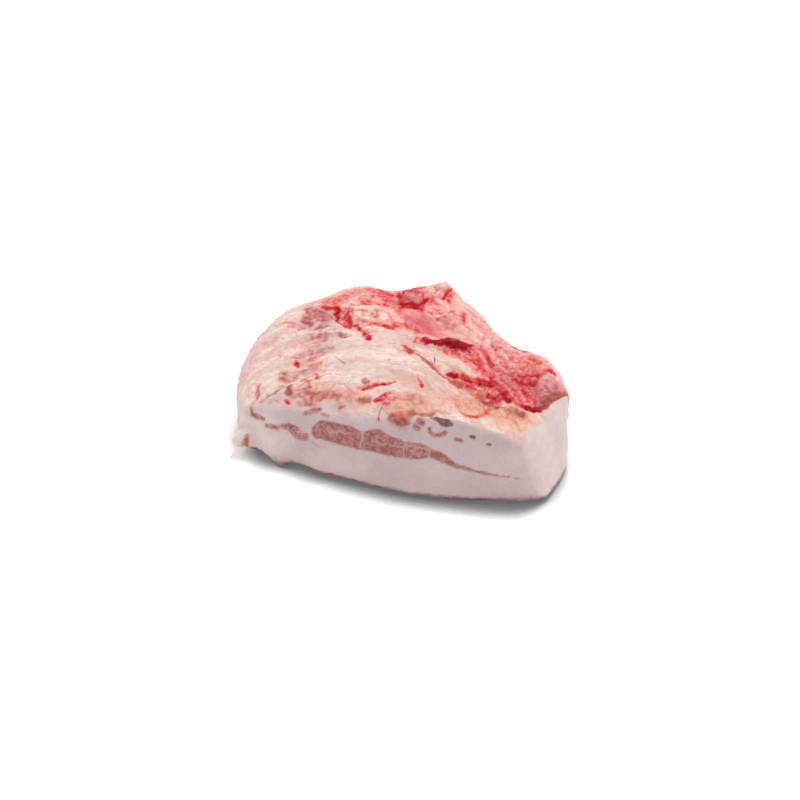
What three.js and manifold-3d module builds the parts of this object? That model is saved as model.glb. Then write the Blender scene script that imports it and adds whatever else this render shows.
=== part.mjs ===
// A raw pork jowl: a thick slab of fat lying on its skin side, with knife cuts in front and on the right and
// a rough trimmed top. The top has a hollow where a gland was taken out, with a blood clot along its lower edge,
// a tongue of meat that hangs over the right cut, and a torn flap at the left end of the front cut.
// It is one piece of meat and fat, so it is one solid.
// Millimetres, +Z up. The front cut faces -Y. The origin is under the middle of the slab, on its resting plane.
import * as THREE from "three";
import { mergeVertices } from "three/addons/utils/BufferGeometryUtils.js";
import Module from "manifold-3d";

const wasm = await Module();
wasm.setup();

// Steps of the surface: along the slab, across it, up its walls, and under it from the edge inwards.
const LENGTH_STEPS = 72;
const WIDTH_STEPS = 46;
const WALL_STEPS = 6;
const UNDERSIDE_SHARES = [1, 0.95, 0.87, 0.76, 0];
const UNDERSIDE_MIDDLE = { x: -2, y: -6 };

// How far in from the rim the top takes to reach its own height, and how round its shoulder is.
const SHOULDER = 42;
const SHOULDER_POWER = 2.4;
// The reach of one height spot over the top.
const SPOT_REACH = 20;
// The lower edge is rounded over this width and this much more for each millimetre that its foot is raised.
// Inside that the slab lies flat.
const EDGE_ROUND = 4;
const EDGE_ROUND_PER_RISE = 1.9;
// Lumps and seams fade out over this width towards the rim.
const RELIEF_FADE = 6;
// Lumps and seams are softened over this distance.
const SOFT = 1.7;

// Unevenness, as depth and grain size: of the trimmed top, the torn walls and the knife cuts.
const TOP_UNEVEN = { depth: 0.9, grain: 9 };
const TORN_UNEVEN = { depth: 1.3, grain: 16 };
const CUT_UNEVEN = { depth: 0.5, grain: 26 };

// The corners of the slab and the stations between them, counter-clockwise from above: where each stands at its
// foot and at its top rim, and how far the wall between swells outwards. A crease is a sharp turn inside a side.
const FRONT_LEFT = { foot: [-104.5, -71.5, 8.5], top: [-92, -65, 36], swell: 0 };
const FRONT_RIGHT = { foot: [117.5, -65.5, 1.5], top: [97, -69, 47], swell: 1 };
const REAR_RIGHT = { foot: [116, -3, 3], top: [117.5, -10, 49], swell: 1 };
const REAR_LEFT = { foot: [-66, 61, 4], top: [-64.5, 71.4, 50.4], swell: 5 };

const FRONT = [
  FRONT_LEFT,
  { foot: [-97.5, -73, 7], top: [-89, -64.5, 36.5], swell: 0 },
  { foot: [-88.5, -69, 7.5], top: [-82, -64, 38], swell: 1 },
  { foot: [-77, -73.8, 4], top: [-73, -64.5, 39.5], swell: 1 },
  { foot: [-66, -78, 2], top: [-64, -64.7, 40.8], swell: 0 },
  { foot: [-57, -76, 3.4], top: [-55, -65, 42], swell: 1 },
  { foot: [-37, -81, 2.8], top: [-37, -65.8, 44.6], swell: 1.5 },
  { foot: [-16, -82.6, 2.2], top: [-19, -67, 47], swell: 2 },
  { foot: [20, -85.5, 1.5], top: [16, -69, 52], swell: 2 },
  { foot: [54, -83, 1], top: [48, -65, 57], swell: 2 },
  { foot: [86, -76, 1], top: [76, -68, 53], swell: 2 },
  FRONT_RIGHT,
];
const RIGHT = [
  FRONT_RIGHT,
  { foot: [120, -51, 2], top: [103, -58, 48], swell: 1.5 },
  { foot: [122, -39, 2], top: [108, -42, 49], swell: 2.5 },
  { foot: [122.5, -27, 3], top: [113, -26, 50], swell: 3.5 },
  REAR_RIGHT,
];
const REAR = [
  REAR_RIGHT,
  { foot: [104, 12, 4], top: [108.7, 8, 52.5], swell: 3 },
  { foot: [88, 24, 4], top: [93.4, 24.2, 53], swell: 3 },
  { foot: [70, 30, 4], top: [75.5, 30.4, 51.8], swell: 3 },
  { foot: [50, 41, 4], top: [57, 43, 52.3], swell: 3 },
  { foot: [37, 55, 4], top: [41.2, 60, 55], swell: 3 },
  { foot: [26, 66, 4], top: [27, 70.6, 56.8], swell: 3 },
  { foot: [8, 75, 4], top: [10, 83, 63], swell: 2, crease: true },
  { foot: [-10, 70, 4], top: [-10, 77, 57.3], swell: 3 },
  { foot: [-26, 67, 4], top: [-27, 75, 52.2], swell: 3 },
  { foot: [-46, 66, 4], top: [-48, 74, 54.3], swell: 4 },
  REAR_LEFT,
];
const LEFT = [
  REAR_LEFT,
  { foot: [-79, 49, 4], top: [-79.2, 58.3, 46.5], swell: 5 },
  { foot: [-91, 35, 4], top: [-95.8, 45, 44.6], swell: 6 },
  { foot: [-99, 16, 4], top: [-105.5, 27, 42.5], swell: 6 },
  { foot: [-103, -6, 4], top: [-111, -2.5, 40], swell: 5 },
  { foot: [-102, -30, 4], top: [-111, -29, 36.5], swell: 3.5 },
  { foot: [-101, -53, 6], top: [-105, -50, 33], swell: 1.5 },
  FRONT_LEFT,
];

// The top's general heights inside the rim, as x, y and height.
const HEIGHT_SPOTS = [
  [-78, -32, 46], [-62, 20, 52], [-34, -36, 54], [-30, 12, 59], [-42, 52, 58], [8, -42, 58], [6, -6, 61],
  [14, 36, 54], [44, -42, 59], [46, -4, 56], [80, -34, 52], [78, 2, 51], [-2, 62, 61],
];

// Lumps of the top, and dents where the height is below zero: middle, half sizes, turn in degrees, height.
const LUMPS = {
  glandHollow: { at: [20, 34], half: [32, 15], turn: -32, height: -8 },
  rearKnob: { at: [-10, 60], half: [10, 9], turn: 0, height: 5 },
  rearTip: { at: [7, 72], half: [9, 14], turn: -25, height: 3 },
  rearLeftHump: { at: [-46, 58], half: [20, 14], turn: 10, height: 2.5 },
  clot: { at: [31, 15.5], half: [18, 6.5], turn: 12, height: 6 },
  clotEnd: { at: [13, 16], half: [6, 6], turn: 0, height: 3.5 },
  bloodyLobe: { at: [-38, 33], half: [16, 10], turn: -20, height: 3.5 },
  creamLobe: { at: [36, -8], half: [21, 9], turn: -26, height: 4 },
  rightMass: { at: [95, 10], half: [18, 12], turn: -40, height: 3 },
  rightLumpRear: { at: [66, 17], half: [12, 7], turn: -55, height: 2.5 },
  rightLumpMiddle: { at: [80, -6], half: [13, 7], turn: -35, height: -2.5 },
  rightLumpFront: { at: [72, -22], half: [10, 7], turn: -30, height: 3 },
  seamLobeLeft: { at: [48, -27], half: [12, 6.5], turn: -28, height: 3 },
  seamLobeRight: { at: [61, -33], half: [11, 6], turn: -32, height: 2.5 },
  browned: { at: [85, -40], half: [14, 6.5], turn: -8, height: 3.5 },
  rearSlopeFold: { at: [34, 52], half: [8, 20], turn: 32, height: 2 },
  frontEdgeLump: { at: [16, -58], half: [16, 9], turn: 0, height: 2.5 },
  frontEdgeSwell: { at: [42, -50], half: [22, 11], turn: -15, height: 2 },
  frontLeftSwell: { at: [-34, -56], half: [22, 7], turn: 6, height: 1.8 },
  leftMuscle: { at: [-76, 28], half: [16, 10], turn: 25, height: -2.5 },
  leftDent: { at: [-70, -38], half: [11, 9], turn: 0, height: -2 },
  middleDent: { at: [-47, 7], half: [8, 5], turn: 0, height: -1.8 },
};

// Ridges along a line over the top, and grooves where the height is below zero.
const SEAMS = {
  clotBed: { line: [[4, 13], [16, 6], [34, 7], [48, 12]], half: 6, height: -4.5 },
  knobRing: { line: [[-19, 66], [-20, 57], [-14, 49.5], [-4, 50.5], [1, 58]], half: 5, height: -4 },
  hollowBrow: { line: [[-13, 44], [-2, 46], [10, 43], [22, 50]], half: 5.5, height: 2.8 },
  bloodGroove: { line: [[-64, 39], [-54, 27], [-46, 20], [-36, 16], [-28, 6]], half: 5.5, height: -3.2 },
  vein: { line: [[-2, 0], [10, -4], [20, -12], [30, -20], [42, -29], [56, -37], [70, -43]], half: 5, height: -3 },
  crevice: { line: [[37, -17], [50, -19], [60, -22], [69, -31], [76, -36], [90, -35]], half: 6, height: -4 },
  rightCrevice: { line: [[56, 18], [60, 4], [66, -10], [70, -28]], half: 5.5, height: -3 },
  tongueGroove: { line: [[114, -30], [104, -39], [88, -46]], half: 5, height: -2 },
  strandFar: { line: [[-84, -8], [-70, 4], [-54, 12]], half: 7, height: 1.5 },
  strandMiddle: { line: [[-82, -50], [-64, -32], [-46, -20], [-26, -14]], half: 7, height: 1.8 },
  strandNear: { line: [[-86, -60], [-70, -50], [-50, -40], [-24, -40]], half: 6.5, height: 1.6 },
  strandMedian: { line: [[-30, -24], [-4, -20], [14, -26], [36, -38]], half: 7, height: 1.5 },
};

// The tongue of meat that hangs over the right cut, an uneven ellipsoid grown into the slab: middle, half sizes,
// turn about +Z and rise of its right end, in degrees, and its sides and rings.
const TONGUE = { at: [100.3, -22, 45.5], half: [21, 12, 8.5], turn: 38, rise: -3, sides: 22, rings: 12 };
const TONGUE_UNEVEN = { depth: 0.07, grain: 0.6 };

// Points closer than this are one point.
const WELD = 1e-3;

// Smooth random numbers in space between -1 and 1, the same on every run.
function lattice(i, j, k) {
  const s = Math.sin(i * 127.1 + j * 311.7 + k * 74.7) * 43758.5453;
  return s - Math.floor(s);
}

function noise(x, y, z) {
  const [i, j, k] = [Math.floor(x), Math.floor(y), Math.floor(z)];
  const [u, v, w] = [x - i, y - j, z - k].map((t) => t * t * (3 - 2 * t));
  let sum = 0;
  for (const [a, weightA] of [[0, 1 - u], [1, u]]) {
    for (const [b, weightB] of [[0, 1 - v], [1, v]]) {
      for (const [c, weightC] of [[0, 1 - w], [1, w]]) {
        sum += weightA * weightB * weightC * lattice(i + a, j + b, k + c);
      }
    }
  }
  return 2 * sum - 1;
}

function uneven(point, kind) {
  return kind.depth * noise(point.x / kind.grain, point.y / kind.grain, point.z / kind.grain);
}

// One run of a side without a crease, in equal steps: a foot point, a rim point and a swelling for each.
function run(stations, steps) {
  const through = (list) => {
    const points = list.map((p) => new THREE.Vector3(...p));
    return new THREE.CatmullRomCurve3(points, false, "centripetal");
  };
  const foot = through(stations.map((s) => s.foot));
  const rim = through(stations.map((s) => s.top));
  const swell = through(stations.map((s, i) => [s.swell, i, 0]));
  return Array.from({ length: steps + 1 }, (_, i) => {
    const t = i / steps;
    return { foot: foot.getPoint(t), rim: rim.getPoint(t), swell: swell.getPoint(t).x };
  });
}

// A whole side of the slab. A crease splits the steps in the ratio of the stations on either side of it.
function side(stations, steps) {
  const crease = stations.findIndex((s) => s.crease);
  if (crease < 0) return run(stations, steps);
  const before = Math.round((steps * crease) / (stations.length - 1));
  return [
    ...run(stations.slice(0, crease + 1), before),
    ...run(stations.slice(crease), steps - before).slice(1),
  ];
}

const sides = {
  front: side(FRONT, LENGTH_STEPS),
  right: side(RIGHT, WIDTH_STEPS),
  rear: side(REAR, LENGTH_STEPS),
  left: side(LEFT, WIDTH_STEPS),
};
// The columns all round, each with the unevenness of its wall.
const outline = [
  ...sides.front.slice(0, -1).map((column) => ({ ...column, surface: CUT_UNEVEN })),
  ...sides.right.slice(0, -1).map((column) => ({ ...column, surface: CUT_UNEVEN })),
  ...sides.rear.slice(0, -1).map((column) => ({ ...column, surface: TORN_UNEVEN })),
  ...sides.left.slice(0, -1).map((column) => ({ ...column, surface: TORN_UNEVEN })),
];

// The height spots blended over the top, each with a round reach.
function generalHeight(x, y) {
  let [sum, weights] = [0, 0];
  for (const [spotX, spotY, height] of HEIGHT_SPOTS) {
    const weight = Math.exp(-((x - spotX) ** 2 + (y - spotY) ** 2) / (2 * SPOT_REACH ** 2));
    sum += weight * height;
    weights += weight;
  }
  return sum / weights;
}

// A round bump: 1 in the middle and 0 from reach 1 outwards.
const bump = (reach) => (reach < 1 ? (1 - reach ** 2) ** 2 : 0);

function lumpHeight(x, y, lump) {
  const turn = THREE.MathUtils.degToRad(lump.turn);
  const [dx, dy] = [x - lump.at[0], y - lump.at[1]];
  const along = dx * Math.cos(turn) + dy * Math.sin(turn);
  const across = dy * Math.cos(turn) - dx * Math.sin(turn);
  return lump.height * bump(Math.hypot(along / lump.half[0], across / lump.half[1]));
}

function seamHeight(x, y, seam) {
  let nearest = Infinity;
  for (let i = 0; i + 1 < seam.line.length; i++) {
    const [[ax, ay], [bx, by]] = [seam.line[i], seam.line[i + 1]];
    const share = ((x - ax) * (bx - ax) + (y - ay) * (by - ay)) / ((bx - ax) ** 2 + (by - ay) ** 2);
    const t = THREE.MathUtils.clamp(share, 0, 1);
    nearest = Math.min(nearest, Math.hypot(x - ax - t * (bx - ax), y - ay - t * (by - ay)));
  }
  return seam.height * bump(nearest / seam.half);
}

// All the lumps and seams at one place, softened over the size of a cell of the mesh.
function relief(x, y) {
  const places = [[x, y], [x + SOFT, y], [x - SOFT, y], [x, y + SOFT], [x, y - SOFT]];
  let sum = 0;
  for (const [nearX, nearY] of places) {
    for (const lump of Object.values(LUMPS)) sum += lumpHeight(nearX, nearY, lump);
    for (const seam of Object.values(SEAMS)) sum += seamHeight(nearX, nearY, seam);
  }
  return sum / places.length;
}

// The top is spanned between the four rims, then raised to its own heights away from them.
function topPoint(i, j) {
  const [u, v] = [i / LENGTH_STEPS, j / WIDTH_STEPS];
  const [front, rear] = [sides.front[i].rim, sides.rear[LENGTH_STEPS - i].rim];
  const [left, right] = [sides.left[WIDTH_STEPS - j].rim, sides.right[j].rim];
  const corners = [
    [sides.front[0].rim, (1 - u) * (1 - v)], [sides.right[0].rim, u * (1 - v)],
    [sides.left[0].rim, (1 - u) * v], [sides.rear[0].rim, u * v],
  ];
  const p = new THREE.Vector3();
  for (const [rim, weight] of [[front, 1 - v], [rear, v], [left, 1 - u], [right, u]]) p.addScaledVector(rim, weight);
  for (const [corner, weight] of corners) p.addScaledVector(corner, -weight);
  if (i % LENGTH_STEPS === 0 || j % WIDTH_STEPS === 0) return p;
  const inside = Math.min(...outline.map((column) => Math.hypot(column.rim.x - p.x, column.rim.y - p.y)));
  const own = 1 - Math.max(0, 1 - inside / SHOULDER) ** SHOULDER_POWER;
  const fade = THREE.MathUtils.smoothstep(inside, 0, RELIEF_FADE);
  p.z = THREE.MathUtils.lerp(p.z, generalHeight(p.x, p.y), own);
  p.z += fade * (relief(p.x, p.y) + uneven(p, TOP_UNEVEN));
  return p;
}

// A point of the wall: share 0 is at the foot and share 1 on the rim.
function wallPoint(c, share) {
  const count = outline.length;
  const column = outline[c % count];
  const before = outline[(c + count - 1) % count].rim;
  const after = outline[(c + 1) % count].rim;
  const outward = new THREE.Vector3(after.y - before.y, before.x - after.x, 0).normalize();
  const p = new THREE.Vector3().lerpVectors(column.foot, column.rim, share);
  const swell = (column.swell + uneven(p, column.surface)) * Math.sin(Math.PI * share);
  return p.addScaledVector(outward, swell);
}

// A point of the underside: share 1 is on the foot and share 0 in the middle.
function undersidePoint(c, share) {
  const { foot } = outline[c % outline.length];
  const x = THREE.MathUtils.lerp(UNDERSIDE_MIDDLE.x, foot.x, share);
  const y = THREE.MathUtils.lerp(UNDERSIDE_MIDDLE.y, foot.y, share);
  const inside = Math.hypot(foot.x - x, foot.y - y);
  const rounded = EDGE_ROUND + EDGE_ROUND_PER_RISE * foot.z;
  const z = foot.z * (1 - THREE.MathUtils.smoothstep(inside, 0, rounded));
  return new THREE.Vector3(x, y, z);
}

// Triangles over rows of points, each four-sided cell split along its shorter diagonal.
function sheet(rows) {
  const corners = [];
  for (let r = 0; r + 1 < rows.length; r++) {
    for (let c = 0; c + 1 < rows[r].length; c++) {
      const [a, b, d, e] = [rows[r][c], rows[r][c + 1], rows[r + 1][c + 1], rows[r + 1][c]];
      corners.push(...(a.distanceTo(d) < b.distanceTo(e) ? [a, b, d, a, d, e] : [a, b, e, b, d, e]));
    }
  }
  return corners;
}

// A closed solid from triangles whose corners meet.
function solid(geometry) {
  const positions = new THREE.BufferGeometry().setAttribute("position", geometry.getAttribute("position"));
  if (geometry.index) positions.setIndex(geometry.index);
  const welded = mergeVertices(positions, WELD);
  const index = [];
  for (let i = 0; i < welded.index.count; i += 3) {
    const face = [0, 1, 2].map((k) => welded.index.getX(i + k));
    if (new Set(face).size === 3) index.push(...face);
  }
  return new wasm.Manifold(new wasm.Mesh({
    numProp: 3,
    vertProperties: Float32Array.from(welded.getAttribute("position").array),
    triVerts: Uint32Array.from(index),
  }));
}

// The slab before the tongue is grown into it: its top, its walls and its underside.
function slab() {
  const range = (steps) => Array.from({ length: steps + 1 }, (_, i) => i);
  const top = range(WIDTH_STEPS).map((j) => range(LENGTH_STEPS).map((i) => topPoint(i, j)));
  const round = range(outline.length);
  const wall = range(WALL_STEPS).map((row) => round.map((c) => wallPoint(c, row / WALL_STEPS)));
  const underside = UNDERSIDE_SHARES.map((share) => round.map((c) => undersidePoint(c, share))).reverse();
  return solid(new THREE.BufferGeometry().setFromPoints([...sheet(top), ...sheet(wall), ...sheet(underside)]));
}

function tongue() {
  const geometry = new THREE.SphereGeometry(1, TONGUE.sides, TONGUE.rings);
  const positions = geometry.getAttribute("position");
  for (let i = 0; i < positions.count; i++) {
    const p = new THREE.Vector3().fromBufferAttribute(positions, i);
    p.multiplyScalar(1 + uneven(p, TONGUE_UNEVEN));
    positions.setXYZ(i, p.x, p.y, p.z);
  }
  geometry.scale(...TONGUE.half);
  geometry.rotateY(-THREE.MathUtils.degToRad(TONGUE.rise));
  geometry.rotateZ(THREE.MathUtils.degToRad(TONGUE.turn));
  geometry.translate(...TONGUE.at);
  return solid(geometry);
}

// The whole piece, moved so that the origin is under the middle of its box.
function jowlGeometry() {
  const { vertProperties, triVerts } = slab().add(tongue()).getMesh();
  const geometry = new THREE.BufferGeometry();
  geometry.setAttribute("position", new THREE.BufferAttribute(Float32Array.from(vertProperties), 3));
  geometry.setIndex([...triVerts]);
  geometry.computeBoundingBox();
  const { min, max } = geometry.boundingBox;
  return geometry.translate(-(min.x + max.x) / 2, -(min.y + max.y) / 2, -min.z);
}

const fat = new THREE.MeshStandardMaterial({ color: 0xe6d2c8, roughness: 0.5, metalness: 0 });
const jowl = new THREE.Mesh(jowlGeometry(), fat);
jowl.name = "jowl";

export default new THREE.Group().add(jowl);
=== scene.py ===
"""A raw pork jowl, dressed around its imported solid.

A slab of fat lies on its skin side, with a smooth knife cut in front that shows a marbled streak of lean, a
plain cut on the right, and a rough, bloodstained, trimmed top. The solid's surface is remeshed finely, given
its small relief by named marks and seeded noise, and painted by one node material that reads the marks as
attributes. Lengths in the tables are millimetres, Blender's are metres.
"""

import functools
import itertools
import math

import bmesh
import bpy
import numpy as np
from mathutils import Matrix, Vector


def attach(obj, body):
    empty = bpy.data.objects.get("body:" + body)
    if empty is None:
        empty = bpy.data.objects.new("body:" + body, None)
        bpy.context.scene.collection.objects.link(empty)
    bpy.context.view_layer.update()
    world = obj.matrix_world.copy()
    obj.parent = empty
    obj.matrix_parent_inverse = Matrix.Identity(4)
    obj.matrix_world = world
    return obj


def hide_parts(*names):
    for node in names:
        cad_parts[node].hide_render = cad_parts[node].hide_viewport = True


MM = 0.001

# The drawing that the marks below were read in has its zero here, in the frame's millimetres.
DRAWING_ZERO = (-4.61, 1.24, 0.0)

# The fine surface: size of its cells, and how often and how strongly it is smoothed.
CELL = 1.06
SMOOTH_TIMES = 9
SMOOTH_SHARE = 0.55

# The camera's view of the slab.
CAMERA_AZIMUTH = 15.0
CAMERA_ELEVATION = 38.0
CAMERA_DISTANCE = 1200.0
CAMERA_TARGET = (-5.20, -6.33, 18.84)
MM_PER_PIXEL = 0.70
PICTURE_PIXELS = 800
SENSOR = 36.0

# Light: the white surround, and the lights around the meat in degrees, metres and watts.
SURROUND = 0.5
KEY = {"azimuth": 176, "elevation": 70, "distance": 1.6, "size": 0.45, "watts": 14}
FILL = {"azimuth": 80, "elevation": 24, "distance": 1.6, "size": 0.8, "watts": 5}
LEFT_FILL = {"azimuth": -75, "elevation": 26, "distance": 1.6, "size": 0.8, "watts": 5}

# The floor: half its side in metres and its own glow. Where the meat hides the way towards the back, within
# this reach, ambient occlusion darkens the floor's colour: a painted shadow.
FLOOR_HALF = 6.0
FLOOR_GLOW = 0.14
PAINTED_SHADOW_REACH = 28.0
PAINTED_SHADOW_FROM = (-0.5, 1.0, 0.3)
PAINTED_SHADOW_RANGE = (0.4, 0.74)

# The knife edges, which are rounded over: points along each, how wide the rounding is and how strong.
FRONT_RIM = [
    (-92, -65, 36), (-64, -64.7, 41), (-19, -67, 47), (16, -69, 52), (48, -65, 57), (76, -68, 53),
    (97, -69, 47),
]
RIGHT_RIM = [(97, -69, 47), (108, -42, 49), (113, -26, 50)]
CORNER = [(97, -69, 47), (108, -68, 24), (117.5, -65.5, 2)]
BASE_EDGE = [(-54, -77, 0), (-28, -82, 0), (14, -86, 0), (55, -84, 0), (88, -76, 0)]
ROUNDED_EDGES = [(FRONT_RIM, 9, 0.6), (RIGHT_RIM, 9, 0.8), (CORNER, 15, 1.0), (BASE_EDGE, 10, 1.0)]
ROUNDING_TIMES = 36
ROUNDING_SHARE = 0.6

# Where the tongue and the top end over the right cut: y and x along it.
SIDE_EDGE = [
    (-46, 106), (-40, 107), (-32, 108), (-27.5, 108), (-23.8, 109.4), (-20, 111.8), (-15, 114.4),
    (-11.4, 116.4), (-8, 119),
]

# Heights between which the dark rind above the skin ends, its darkness partly painted shade where the meat
# meets the floor, and between which the rear wall's stains begin.
RIND_AND_SHADE_END = (3.4, 6.2)
WALL_STAINS = (18, 50)

# How soft the edge of a mark is: at least this, more for a wide one, and softer still for muscle on the top.
SOFT_LEAST = 0.7
SOFT_SHARE = 0.17
MUSCLE_SOFTER = 1.7

# Where marks meet, how much of the weaker one shows, and how much blood a lump of fat covers.
WEAKER_SHARE = 0.25
LUMP_COVERS = 0.7

# What the fields of depth and the distances to lines hold away from every mark, in mm.
OUTSIDE = -9.0
FAR = 9.0

# What each kind of mark adds inside it, as amounts of the fields below. Warmth is cooler below 0.
KINDS = {
    "blood": {"blood": 1.65},
    "redbrown": {"blood": 1.15, "warm": 0.1},
    "salmon": {"blood": 0.75, "warm": 0.3},
    "orange": {"blood": 1.05, "warm": 0.5},
    "loop": {"blood": 0.9, "warm": 0.1},
    "plum": {"blood": 1.35, "warm": -0.9},
    "mauve": {"muscle": 1.0},
    "brown": {"muscle": 0.95, "warm": 0.9},
    "raw": {"raw": 1.0},
    "edge": {"muscle": 0.9, "blood": 0.3, "warm": -0.4},
    "wet": {"muscle": 0.45, "blood": 0.3, "warm": -0.2, "smooth": 0.3},
    "pale": {"pale": 1.0},
    "lump": {"pale": 0.7, "clear": 1.0},
    "streak": {"streak": 1.0},
    "marbled": {"marbled": 1.0},
}

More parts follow.
